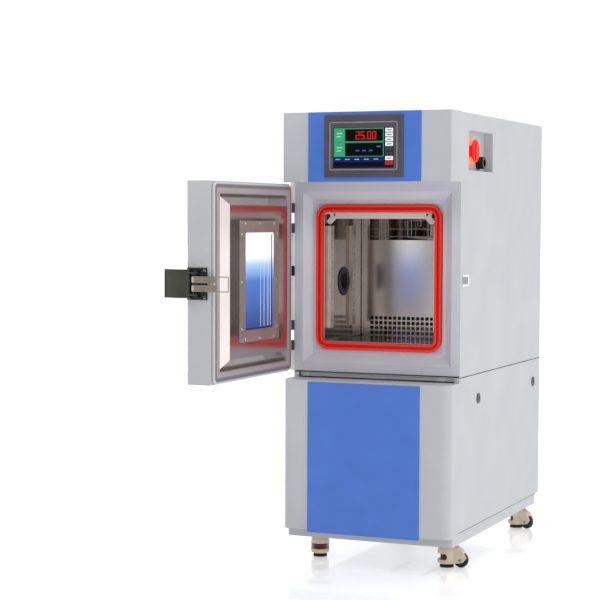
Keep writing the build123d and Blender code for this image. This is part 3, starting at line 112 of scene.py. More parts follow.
def add_node(
    tree: Tree, kind: str, values: dict | None = None, **settings: object
) -> bpy.types.Node:
    """Adds one shader node with its settings, socket values and links.

    Args:
        tree: the material's node tree.
        kind: the node's type name after "ShaderNode".
        values: for each input socket a value, or another node's output socket to link.
        settings: attributes of the node itself.

    Returns:
        The new node.
    """
    made = tree.nodes.new("ShaderNode" + kind)
    for key, value in settings.items():
        setattr(made, key, value)
    for key, value in (values or {}).items():
        if isinstance(value, Socket):
            tree.links.new(value, made.inputs[key])
        else:
            made.inputs[key].default_value = value
    return made


def worked(tree: Tree, operation: str, *values: Socket | float) -> Socket:
    """Adds one step of arithmetic.

    Args:
        tree: the material's node tree.
        operation: the Math node's operation.
        values: its inputs, in order.

    Returns:
        The result's socket.
    """
    return add_node(tree, "Math", dict(enumerate(values)), operation=operation).outputs[0]


def laid_over(tree: Tree, share: Socket, under: Socket, code: str) -> Socket:
    """Lays a plain colour over another.

    Args:
        tree: the material's node tree.
        share: how much of the plain colour shows, from 0 to 1.
        under: the colour below it.
        code: the plain colour, as sRGB hex.

    Returns:
        The mixed colour's socket.
    """
    below, above = MIX_COLOURS
    mix = add_node(tree, "Mix", {0: share, below: under, above: linear(code)}, data_type="RGBA")
    return mix.outputs[2]


def ramp(tree: Tree, share: Socket, stops: tuple[tuple[float, str], ...]) -> Socket:
    """Turns a value into a colour along a row of stops.

    Args:
        tree: the material's node tree.
        share: the value, from 0 to 1.
        stops: places in rising order, each with its sRGB hex colour.

    Returns:
        The colour's socket.
    """
    made = add_node(tree, "ValToRGB", {"Fac": share})
    row = made.color_ramp.elements
    for index, (spot, code) in enumerate(stops):
        stop = row[index] if index < len(row) else row.new(spot)
        stop.position = spot
        stop.color = linear(code)
    return made.outputs["Color"]


@dataclass(frozen=True)
class Finish:
    """A surface with a slow change of tone, a fine relief and a changing gloss.

    grain_mm is the relief's spacing along X, Y and Z, patch_mm the size of the tone's patches, and glow
    the strength of the surface's own light. A finish with its own tone needs no colour or shade.
    """

    title: str
    colour: str = "#FFFFFF"
    shade: str = "#FFFFFF"
    metallic: float = 0.0
    roughness: tuple[float, float] = (0.4, 0.5)
    grain_mm: tuple[float, float, float] = (2.0, 2.0, 2.0)
    relief_mm: float = 0.02
    patch_mm: float = 160.0
    coat: float = 0.0
    ior: float | None = None
    sheen: float = 0.0
    glow: float = 0.0

    def tone(self, tree: Tree, place: Socket) -> Socket:
        """Gives the colour: a slow noise between the two tones.

        Args:
            tree: the node tree.
            place: Object coordinates.

        Returns:
            A colour socket.
        """
        patches = add_node(
            tree, "TexNoise", {"Vector": place, "Scale": MM_PER_METRE / self.patch_mm, "Detail": 3.0}
        )
        return ramp(tree, patches.outputs["Fac"], ((0.3, self.shade), (0.7, self.colour)))

    def build(self) -> bpy.types.Material:
        """Makes the material once.

        Returns:
            The material, made now or before.
        """
        known = bpy.data.materials.get(self.title)
        if known:
            return known
        material = bpy.data.materials.new(self.title)
        material.use_nodes = True
        tree = material.node_tree
        shader = tree.nodes["Principled BSDF"]
        place = add_node(tree, "TexCoord").outputs["Object"]
        stretch = add_node(
            tree, "Mapping", {"Vector": place, "Scale": tuple(MM_PER_METRE / g for g in self.grain_mm)}
        ).outputs["Vector"]
        grain = add_node(tree, "TexNoise", {"Vector": stretch, "Scale": 1.0, "Detail": 2.0})
        bump = add_node(
            tree, "Bump",
            {"Height": grain.outputs["Fac"], "Distance": self.relief_mm / MM_PER_METRE, "Strength": 1.0},
        )
        gloss = add_node(
            tree, "MapRange",
            {"Value": grain.outputs["Fac"], "To Min": self.roughness[0], "To Max": self.roughness[1]},
        )
        tone = self.tone(tree, place)
        tree.links.new(tone, shader.inputs["Base Color"])
        if self.glow:
            tree.links.new(tone, shader.inputs["Emission Color"])
            shader.inputs["Emission Strength"].default_value = self.glow
        tree.links.new(gloss.outputs["Result"], shader.inputs["Roughness"])
        tree.links.new(bump.outputs["Normal"], shader.inputs["Normal"])
        shader.inputs["Metallic"].default_value = self.metallic
        shader.inputs["Coat Weight"].default_value = self.coat
        shader.inputs["Sheen Weight"].default_value = self.sheen
        if self.ior is not None:
            shader.inputs["IOR"].default_value = self.ior
        self.extra(tree, shader, place)
        return material

    def extra(self, tree: Tree, shader: bpy.types.Node, place: Socket) -> None:
        """Hook for what one finish has beyond the others.

        Args:
            tree: the node tree.
            shader: the surface's shader.
            place: Object coordinates.
        """


@dataclass(frozen=True)
class BandedFinish(Finish):
    """A moulding with a second colour between two heights, in metres."""

    band: tuple[float, float] = (0.0, 0.0)
    band_colour: str = "#141414"

    def tone(self, tree: Tree, place: Socket) -> Socket:
        """Mixes the second colour in where height lies inside the band.

        Args:
            tree: the node tree.
            place: Object coordinates.

        Returns:
            A colour socket.
        """
        base = super().tone(tree, place)
        height = add_node(tree, "SeparateXYZ", {0: place}).outputs["Z"]
        middle, half = sum(self.band) / 2, abs(self.band[1] - self.band[0]) / 2
        return laid_over(tree, worked(tree, "COMPARE", height, middle, half), base, self.band_colour)


@dataclass(frozen=True)
class ZonedFinish(Finish):
    """A folded part with other finishes inside given boxes, such as a painted flange on a bright box.

    Each zone is a low corner, a high corner, a colour and how metallic it is there.
    """

    zones: tuple[tuple[tuple[float, ...], tuple[float, ...], str, float], ...] = ()

    def masks(self, tree: Tree, place: Socket) -> list[Socket]:
        """Marks the zones.

        Args:
            tree: the node tree.
            place: Object coordinates.

        Returns:
            For each zone a socket that is 1 inside its box and 0 outside.
        """
        apart = add_node(tree, "SeparateXYZ", {0: place})
        masks = []
        for low, high, _, _ in self.zones:
            inside = None
            for axis in range(3):
                middle, half = (low[axis] + high[axis]) / 2, (high[axis] - low[axis]) / 2
                test = worked(tree, "COMPARE", apart.outputs[axis], middle, half)
                inside = test if inside is None else worked(tree, "MULTIPLY", inside, test)
            masks.append(inside)
        return masks

    def tone(self, tree: Tree, place: Socket) -> Socket:
        """Mixes each zone's colour in over the base.

        Args:
            tree: the node tree.
            place: Object coordinates.

        Returns:
            A colour socket.
        """
        tone = super().tone(tree, place)
        for mask, (_, _, code, _) in zip(self.masks(tree, place), self.zones):
            tone = laid_over(tree, mask, tone, code)
        return tone

    def extra(self, tree: Tree, shader: bpy.types.Node, place: Socket) -> None:
        """Changes the metallic value inside each zone.

        Args:
            tree: the node tree.
            shader: the surface's shader.
            place: Object coordinates.
        """
        value = self.metallic
        below, above = MIX_VALUES
        for mask, (_, _, _, metal) in zip(self.masks(tree, place), self.zones):
            mix = add_node(tree, "Mix", {0: mask, below: value, above: metal}, data_type="FLOAT")
            value = mix.outputs[0]
        if self.zones:
            tree.links.new(value, shader.inputs["Metallic"])


@dataclass(frozen=True)
class RimmedFinish(Finish):
    """A ring moulding with painted highlights on its lips and painted shade in its grooves, run in from its
    outer edge.

    The edge is a rectangle with rounded corners. With u = |a - a0| - half width + corner, and v the same
    for the other axis, the distance inwards is corner - |(max(u, 0), max(v, 0))| - min(max(u, v), 0).
    The default edge is the door seal's.
    """

    axes: tuple[int, int] = (1, 2)
    middle: tuple[float, float] = (-0.336, 0.885)
    half: tuple[float, float] = (0.296, 0.316)
    corner: float = 0.020
    reach: float = 0.06
    stops: tuple[tuple[float, str], ...] = ((0.0, "#000000"), (1.0, "#FFFFFF"))

    def inward(self, tree: Tree, place: Socket) -> Socket:
        """Measures from the outer edge.

        Args:
            tree: the node tree.
            place: Object coordinates.

        Returns:
            The distance inwards, in metres.
        """
        apart = add_node(tree, "SeparateXYZ", {0: place})
        over, held = [], []
        for axis, centre, half in zip(self.axes, self.middle, self.half):
            size = worked(tree, "ABSOLUTE", worked(tree, "SUBTRACT", apart.outputs[axis], centre))
            part = worked(tree, "SUBTRACT", size, half - self.corner)
            above = worked(tree, "MAXIMUM", part, 0.0)
            over.append(worked(tree, "MULTIPLY", above, above))
            held.append(part)
        length = worked(tree, "SQRT", worked(tree, "ADD", *over))
        below = worked(tree, "MINIMUM", worked(tree, "MAXIMUM", *held), 0.0)
        return worked(tree, "SUBTRACT", self.corner, worked(tree, "ADD", length, below))

    def tone(self, tree: Tree, place: Socket) -> Socket:
        """Runs the colours from the outer edge inwards.

        Args:
            tree: the node tree.
            place: Object coordinates.

        Returns:
            A colour socket.
        """
        share = add_node(
            tree, "MapRange", {"Value": self.inward(tree, place), "From Min": 0.0, "From Max": self.reach}
        )
        return ramp(tree, share.outputs["Result"], self.stops)


@dataclass(frozen=True)
class PaintedReflectionGlass(Finish):
    """Insulating glass kept opaque, with a painted reflection: white at the pane's upper end, deep blue
    below.
    """

    stops: tuple[tuple[float, str], ...] = ((0.0, "#0C1A44"), (1.0, "#FFFFFF"))
    low: float = 0.725
    high: float = 1.045

    def tone(self, tree: Tree, place: Socket) -> Socket:
        """Runs the painted reflection's colours up the pane by height.

        Args:
            tree: the node tree.
            place: Object coordinates.

        Returns:
            A colour socket.
        """
        height = add_node(tree, "SeparateXYZ", {0: place}).outputs["Z"]
        share = add_node(
            tree, "MapRange", {"Value": height, "From Min": self.low, "From Max": self.high}
        )
        return ramp(tree, share.outputs["Result"], self.stops)


@dataclass(frozen=True)
class LitPicture:
    """A lit screen whose colour is stored on the mesh in the attribute named tint."""

    title: str = "lit liquid crystal screen"
    strength: float = 1.0

    def build(self) -> bpy.types.Material:
        """Makes the material once.

        Returns:
            The material, made now or before.
        """
        known = bpy.data.materials.get(self.title)
        if known:
            return known
        material = bpy.data.materials.new(self.title)
        material.use_nodes = True
        tree = material.node_tree
        shader = tree.nodes["Principled BSDF"]
        tint = add_node(tree, "Attribute", attribute_name="tint").outputs["Color"]
        place = add_node(tree, "TexCoord").outputs["Object"]
        # the pixel grid of 0.3 mm is drawn at 2 mm, the finest that shows
        dots = add_node(tree, "TexNoise", {"Vector": place, "Scale": 500.0})
        gloss = add_node(tree, "MapRange", {"Value": dots.outputs["Fac"], "To Min": 0.12, "To Max": 0.2})
        tree.links.new(tint, shader.inputs["Emission Color"])
        shader.inputs["Base Color"].default_value = linear("#050505")
        shader.inputs["Specular IOR Level"].default_value = 0.15
        tree.links.new(gloss.outputs["Result"], shader.inputs["Roughness"])
        shader.inputs["Emission Strength"].default_value = self.strength
        return material


# Baked polyester powder over sheet steel: satin, with a soft orange peel of about 2.5 mm
GREY_COAT = Finish(
    "pale grey powder-coated steel", "#D0D1D5", "#CBCCD1", roughness=(0.34, 0.44),
    grain_mm=(2.5, 2.5, 2.5), relief_mm=0.012,
)
# Lighter and bluer than the grey coat; the extra lightness is painted light on the door frame's face and
# bevels
FRAME_COAT = Finish(
    "folded grey powder-coated steel", "#D9D9E0", "#D3D3DC", roughness=(0.28, 0.38),
    grain_mm=(2.5, 2.5, 2.5), relief_mm=0.01,
)
BLUE_COAT = Finish(
    "blue powder-coated steel", "#5483E1", "#507EDA", roughness=(0.3, 0.42),
    grain_mm=(2.5, 2.5, 2.5), relief_mm=0.014, patch_mm=90.0,
)
# Bright-annealed 304 sheet: near a mirror, with faint rolling lines and a warm cast. Its front
# flange is painted grey, and its drip rail is pale and satin
LINER_STEEL = ZonedFinish(
    "bright-annealed 304 stainless", "#C0B1A5", "#A8998D", metallic=1.0, roughness=(0.07, 0.16),
    grain_mm=(60, 60, 4), relief_mm=0.006, patch_mm=220.0,
    zones=(
        ((-0.6, 0.024, 0.5), (0.6, 0.0284, 1.4), "#CFCDD6", 0.0),
        ((-0.3, 0.0372, 1.07), (0.3, 0.0402, 1.1075), "#F0E9E2", 0.15),
    ),
)
# 2B mill finish: a smooth grey mirror, slightly hazed by the cold rolls
BAFFLE_STEEL = Finish(
    "2B mill-finish 304 stainless", "#FBF8F7", "#ECE8E6", metallic=1.0, roughness=(0.16, 0.22),
    grain_mm=(50, 50, 5), relief_mm=0.002, patch_mm=160.0,
)
# Polished 304 sheet inside the door: long, faint polishing lines
DOOR_STEEL = Finish(
    "polished 304 stainless", "#C6BDBB", "#B7ADAB", metallic=0.88, roughness=(0.09, 0.15),
    grain_mm=(80, 80, 8), relief_mm=0.003, patch_mm=260.0,
)
# Satin-ground 304 of the window frames: fine upright lines, dulled by cleaning
WINDOW_STEEL = Finish(
    "satin 304 stainless", "#CFBDB6", "#BFACA5", metallic=0.7, roughness=(0.34, 0.44),
    grain_mm=(1.2, 1.2, 30), relief_mm=0.008, patch_mm=70.0,
)
# Lacquered 304 of the shelf uprights: paler and softer than the bare sheet
UPRIGHT_STEEL = Finish(
    "lacquered 304 stainless", "#E9DFD6", "#D8CCC2", metallic=0.35, roughness=(0.28, 0.38),
    grain_mm=(1.2, 1.2, 30), relief_mm=0.006, patch_mm=60.0,
)
# Ground and brushed 304: fine lines along the fold
BRUSHED_STEEL = Finish(
    "brushed 304 stainless", "#DAD5D0", "#C9C3BE", metallic=1.0, roughness=(0.18, 0.3),
    grain_mm=(1.2, 1.2, 40), relief_mm=0.008, patch_mm=80.0,
)
# Bright nickel under chrome: a hard mirror with a slight ripple
CHROME = Finish(
    "bright chrome-plated steel", "#F4F4F6", "#E6E7EA", metallic=1.0, roughness=(0.06, 0.14),
    grain_mm=(9, 9, 9), relief_mm=0.01, patch_mm=40.0,
)
# Yellow passivation over zinc: a matt straw tint on the bail's wire
PASSIVATED = Finish(
    "yellow-passivated steel", "#A89E92", "#958B80", metallic=0.6, roughness=(0.36, 0.46),
    grain_mm=(3, 3, 12), relief_mm=0.01, patch_mm=30.0,
)
# Oil-blackened hinge leaves: dull, a little worn
DARK_STEEL = Finish(
    "blackened steel", "#5E5A60", "#4C484E", metallic=0.6, roughness=(0.35, 0.5),
    grain_mm=(3, 3, 3), relief_mm=0.02, patch_mm=30.0,
)
# Electroplated zinc: dull blue-grey with fine crystals
ZINC = Finish(
    "zinc-plated steel", "#B4B3AC", "#9C9B95", metallic=1.0, roughness=(0.3, 0.45),
    grain_mm=(4, 4, 4), relief_mm=0.02, patch_mm=25.0,
)
# Rolled fin stock, as it comes from the mill
FIN_ALUMINIUM = Finish(
    "mill-finish aluminium fin", "#C8CACC", "#B4B6B8", metallic=1.0, roughness=(0.3, 0.45),
    grain_mm=(3, 3, 20), relief_mm=0.02, patch_mm=60.0,
)
# Press-cured silicone: soft gloss. On the red gasket the bands round the ring are painted highlights on the
# lips and painted shade in the groove, and its glow is painted light
RED_SILICONE = RimmedFinish(
    "red silicone", roughness=(0.26, 0.36), grain_mm=(3, 3, 3), relief_mm=0.02, coat=0.15, ior=1.41,
    glow=0.16, axes=(0, 2), middle=(0.0, 0.888), half=(0.228, 0.248), corner=0.044, reach=0.026,
    stops=(
        (0.0, "#C90F08"), (0.08, "#F0200F"), (0.18, "#FF3A20"), (0.3, "#F0200F"), (0.37, "#C40C07"),
        (0.5, "#CE120A"), (0.62, "#C40C07"), (0.7, "#F0200F"), (0.82, "#FF3A20"), (1.0, "#C90F08"),
    ),
)
# The door seal's bands are painted light: a painted highlight on its outer rim, painted shadow just inside
# it, lighter again further in
GREY_SILICONE = RimmedFinish(
    "grey silicone", roughness=(0.38, 0.5), grain_mm=(3, 3, 3), relief_mm=0.03, ior=1.41,
    stops=(
        (0.0, "#D8D6D6"), (0.07, "#D2CECF"), (0.13, "#857C80"), (0.26, "#8D8488"),
        (0.34, "#BBB1B1"), (0.62, "#B3A8A9"), (0.8, "#8B8285"),
    ),
)
# The cable port in matt charcoal silicone: the dark is painted shade, standing in for the shade in the
# port's hole
PORT_SILICONE = Finish(
    "charcoal silicone", "#403840", "#302A32", roughness=(0.4, 0.55), grain_mm=(3, 3, 3),
    relief_mm=0.03, patch_mm=30.0, ior=1.41,
)
# Moulded rubber: matt and fine-grained
BLACK_RUBBER = Finish(
    "black rubber", "#1B1B1C", "#131314", roughness=(0.55, 0.7), grain_mm=(2, 2, 2), relief_mm=0.04,
    patch_mm=20.0,
)
# Glass-filled nylon and ABS mouldings: spark-eroded grain, from satin to gloss
BLACK_NYLON = Finish(
    "black glass-filled nylon", "#1A1A1B", "#121213", roughness=(0.3, 0.42),
    grain_mm=(1.2, 1.2, 1.2), relief_mm=0.02, patch_mm=20.0,
)
HANDLE_NYLON = Finish(
    "olive-black glass-filled nylon", "#45453A", "#34352C", roughness=(0.2, 0.32),
    grain_mm=(1.5, 1.5, 1.5), relief_mm=0.02, patch_mm=40.0, coat=0.3,
)
BEZEL_PLASTIC = Finish(
    "dark grey ABS", "#58525B", "#524C55", roughness=(0.42, 0.52), grain_mm=(1.5, 1.5, 1.5),
    relief_mm=0.02, patch_mm=60.0,
)
IVORY_NYLON = Finish(
    "ivory nylon", "#E6DAC3", "#DACBAF", roughness=(0.3, 0.42), grain_mm=(2, 2, 2), relief_mm=0.03,
    patch_mm=30.0,
)
# The knob's glow is painted light; it is no lamp
RED_PLASTIC = Finish(
    "glossy red ABS", "#F60A05", "#EC0603", roughness=(0.42, 0.52), grain_mm=(3, 3, 3),
    relief_mm=0.01, patch_mm=30.0, ior=1.35, glow=0.3,
)
DARK_RED_PLASTIC = Finish(
    "dark red nylon", "#7E120D", "#4A0908", roughness=(0.3, 0.4), grain_mm=(2, 2, 2),
    relief_mm=0.02, patch_mm=9.0,
)
# The plate's glow is painted light; it is no lamp
YELLOW_PLASTIC = Finish(
    "yellow ABS", "#FFAE48", "#FFA23C", roughness=(0.3, 0.4), grain_mm=(2, 2, 2), relief_mm=0.01,
    patch_mm=50.0, glow=0.25,
)
# Black stove enamel on castings and pressings
MOTOR_ENAMEL = Finish(
    "black stove enamel", "#1C1C1E", "#141416", roughness=(0.25, 0.4), grain_mm=(3, 3, 3),
    relief_mm=0.02, patch_mm=60.0, coat=0.2,
)
# Foam and mineral wool, cut with a knife: coarse and quite matt
WOOL = Finish(
    "cream foam and mineral wool", "#E6DFC2", "#CFC6A4", roughness=(0.8, 0.95), grain_mm=(4, 4, 4),
    relief_mm=0.6, patch_mm=30.0,
)
# Black-printed cover glass
SCREEN_GLASS = Finish(
    "black cover glass", "#0B1016", "#080B10", roughness=(0.06, 0.12), grain_mm=(20, 20, 20),
    relief_mm=0.0, patch_mm=50.0, ior=1.5,
)
# Pale grey moulded bead round the screen
TRIM_BEAD = Finish(
    "pale grey ABS bead", "#CFCBCF", "#C2BEC3", roughness=(0.35, 0.45), grain_mm=(2, 2, 2),
    relief_mm=0.01, patch_mm=20.0,
)
# Anodised spacer between the panes, seen through the glass, with a painted glow
GLAZING_SPACER = Finish(
    "pale anodised glazing spacer", "#E4EEFF", "#D4E3FC", roughness=(0.3, 0.4), grain_mm=(2, 2, 2),
    relief_mm=0.0, patch_mm=20.0, glow=0.3,
)
# White PVC edge strip with a black grommet between two heights
HINGE_STRIP = BandedFinish(
    "white PVC strip with a black grommet", "#FEFEFB", "#F7F7F2", roughness=(0.35, 0.45),
    grain_mm=(2, 2, 2), relief_mm=0.02, patch_mm=40.0, band=(0.891, 0.925),
)
# Blue insulating glass, opaque, with a painted reflection from white above to deep blue below and a painted
# glow
PANE = PaintedReflectionGlass(
    "blue safety glass with painted reflection and glow", roughness=(0.02, 0.05), grain_mm=(40, 40, 40), relief_mm=0.0,
    ior=1.5, glow=0.42,
    stops=(
        (0.0, "#3B4C86"), (0.2, "#4260A8"), (0.5, "#527AC6"), (0.66, "#A6C8F4"), (0.76, "#FFFFFF"),
    ),
)
# The screen's own light
PICTURE = LitPicture()

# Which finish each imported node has
NODE_FINISHES: dict[str, Finish] = {
    "base_pan": GREY_COAT,
    "lower_side_panels": GREY_COAT,
    "back_panels": GREY_COAT,
    "upper_casing": GREY_COAT,
    "switch_recess": GREY_COAT,
    "mid_deck": GREY_COAT,
    "side_plugs": BLACK_NYLON,
    "lower_bezel": GREY_COAT,
    "console_bezel": GREY_COAT,
    "door_frame": FRAME_COAT,
    "door_shell": GREY_COAT,
    "lower_front_panel": BLUE_COAT,
    "console_panel": BLUE_COAT,
    "display_bezel": BEZEL_PLASTIC,
    "display_module": SCREEN_GLASS,
    "chamber_liner": LINER_STEEL,
    "rear_baffle": BAFFLE_STEEL,
    "shelf_uprights": UPRIGHT_STEEL,
    "outlet_guard": BRUSHED_STEEL,
    "cable_port": PORT_SILICONE,
    "door_inner_panel": DOOR_STEEL,
    "window_frames": WINDOW_STEEL,
    "conditioning_coils": FIN_ALUMINIUM,
    "chamber_insulation": WOOL,
    "door_core": WOOL,
    "frame_gasket": RED_SILICONE,
    "door_seal": GREY_SILICONE,
    "blower_wheel": BRUSHED_STEEL,
    "fan_motor": MOTOR_ENAMEL,
    "compressor": MOTOR_ENAMEL,
    "condenser": FIN_ALUMINIUM,
    "condenser_fan": BLACK_NYLON,
    "isolator_plate": YELLOW_PLASTIC,
    "isolator_knob": RED_PLASTIC,
    "power_inlet": BLACK_NYLON,
    "latch_keeper": CHROME,
    "hinge_fixed_leaves": DARK_STEEL,
    "hinge_door_leaves": DARK_STEEL,
    "hinge_edge_strip": HINGE_STRIP,
    "window_panes": PANE,
    "latch_base": BLACK_NYLON,
    "latch_handle": HANDLE_NYLON,
    "latch_bail": PASSIVATED,
    "caster_plates": ZINC,
}
for _corner, _, _ in CASTERS:
    NODE_FINISHES["caster_housing_" + _corner] = IVORY_NYLON
    NODE_FINISHES["caster_wheel_" + _corner] = BLACK_RUBBER
    NODE_FINISHES["adjusting_ring_" + _corner] = DARK_RED_PLASTIC
    NODE_FINISHES["levelling_foot_" + _corner] = BLACK_RUBBER


def dress_nodes(nodes: dict[str, bpy.types.Object]) -> None:
    """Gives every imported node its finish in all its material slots.

    Args:
        nodes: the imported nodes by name.
    """
    for name, piece in nodes.items():
        finish = NODE_FINISHES[name].build()
        if not piece.material_slots:
            piece.data.materials.append(finish)
        for place in piece.material_slots:
            place.material = finish
        log.info("dressed %s with %s", name, finish.name)


def mesh_piece(
    name: str, points: np.ndarray, faces: np.ndarray, finish: Finish | LitPicture, body: str, slot: str,
    tint: np.ndarray | None = None, smooth: bool = True,
) -> bpy.types.Object:
    """Puts arrays into a mesh object that rides on a body.

    Args:
        name: the piece's plain name.
        points: vertex rows.
        faces: rows of four vertex numbers, outward.
        finish: its finish.
        body: the body it rides on.
        slot: not used.
        tint: colour rows for the vertices, for a lit picture.
        smooth: whether its faces shade smoothly.

    Returns:
        The object, at the origin.
    """
    mesh = bpy.data.meshes.new(name)
    mesh.from_pydata(points.reshape(-1, 3).tolist(), [], faces.tolist())
    if tint is not None:
        layer = mesh.color_attributes.new("tint", "FLOAT_COLOR", "POINT")
        layer.data.foreach_set("color", tint.astype(np.float32).ravel())
    else:
        shape = bmesh.new()
        shape.from_mesh(mesh)
        bmesh.ops.remove_doubles(shape, verts=shape.verts, dist=WELD)
        bmesh.ops.dissolve_degenerate(shape, edges=shape.edges, dist=SLIVER)
        bmesh.ops.recalc_face_normals(shape, faces=shape.faces)
        shape.to_mesh(mesh)
        shape.free()
    mesh.polygons.foreach_set("use_smooth", np.full(len(mesh.polygons), smooth))
    if smooth:
        mesh.set_sharp_from_angle(angle=math.radians(SHARP_DEGREES))
    mesh.materials.append(finish.build())
    piece = bpy.data.objects.new(name, mesh)
    bpy.context.scene.collection.objects.link(piece)
    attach(piece, body)
    log.info("made %s: %d faces", name, len(mesh.polygons))
    return piece


def grid_faces(rows: int, columns: int, wrap: bool) -> np.ndarray:
    """Numbers the quads of a grid of points.

    Args:
        rows: points along the first way.
        columns: points along the second way.
        wrap: whether the second way closes on itself.

    Returns:
        Rows of four vertex numbers.
    """
    span = columns if wrap else columns - 1
    i, j = np.meshgrid(np.arange(rows - 1), np.arange(span), indexing="ij")
    k = (j + 1) % columns
    here, beyond = i * columns, (i + 1) * columns
    return np.stack([here + j, here + k, beyond + k, beyond + j], -1).reshape(-1, 4)


def placed(local: np.ndarray, spots: np.ndarray, facing: np.ndarray) -> np.ndarray:
    """Copies one local shape to many spots, turned to face one way.

    Args:
        local: points of one copy, with its own right, up and out.
        spots: the copies' centres.
        facing: rows of right, up and out.

    Returns:
        All points, copy by copy.
    """
    turned = local.reshape(-1, 3) @ facing
    return (spots[:, None, :] + turned[None, :, :]).reshape(-1, 3)


def repeated(faces: np.ndarray, size: int, copies: int) -> np.ndarray:
    """Numbers the faces of several copies of one mesh of that many points."""
    return (faces[None] + (np.arange(copies) * size)[:, None, None]).reshape(-1, 4)


@dataclass
class CrossScrew:
    """A pan-head screw with a cross recess.

    The head is a polar height field. It is a low dome, h(r) = rim + rise times (1 - (r / radius)
    squared), less the recess depth wherever a point lies in either bar of the cross. The outermost ring
    runs down to the seat, which lies sunk below the face.
    """

    radius: float = 0.0032
    rise: float = 0.0014
    rim: float = 0.0009
    recess: float = 0.0013
    bar: float = 0.00055
    reach: float = 0.0019
    turns: int = 40
    sunk: float = 0.0003

    def shape(self) -> tuple[np.ndarray, np.ndarray]:
        """Works the head out as one closed grid.

        Returns:
            Its points and its faces.
        """
        share = np.array([0, 0.1, 0.2, 0.3, 0.4, 0.5, 0.6, 0.66, 0.8, 0.93, 1.0])
        angle = np.linspace(0, 2 * math.pi, self.turns, endpoint=False)
        r, a = np.meshgrid(share * self.radius, angle, indexing="ij")
        x, y = r * np.cos(a), r * np.sin(a)
        cross = ((np.abs(x) < self.bar) | (np.abs(y) < self.bar)) & (r < self.reach)
        z = self.rim + self.rise * (1 - (r / self.radius) ** 2) - np.where(cross, self.recess, 0)
        top = np.stack([x, y, z], -1)
        seat = top[-1:] * np.array([1, 1, 0.0]) - np.array([0, 0, self.sunk])
        foot = seat * np.array([0.0, 0.0, 1.0])
        points = np.concatenate([top, seat, foot])
        return points, grid_faces(len(points), self.turns, True)[:, ::-1]

    def fit(
        self, name: str, spots: np.ndarray, facing: Facing | np.ndarray, body: str, slot: str, finish: Finish
    ) -> None:
        """Drives a screw into each spot.

        Args:
            name: the name of the group.
            spots: seat centres.
            facing: the way the heads look.
            body: the body they ride on.
            slot: not used; only passed on to mesh_piece.
            finish: the heads' finish.
        """
        points, faces = self.shape()
        size = points.shape[0] * points.shape[1]
        facing = np.array(facing.value if isinstance(facing, Facing) else facing, float)
        points, faces = placed(points, spots, facing), repeated(faces, size, len(spots))
        mesh_piece(name, points, faces, finish, body, slot)


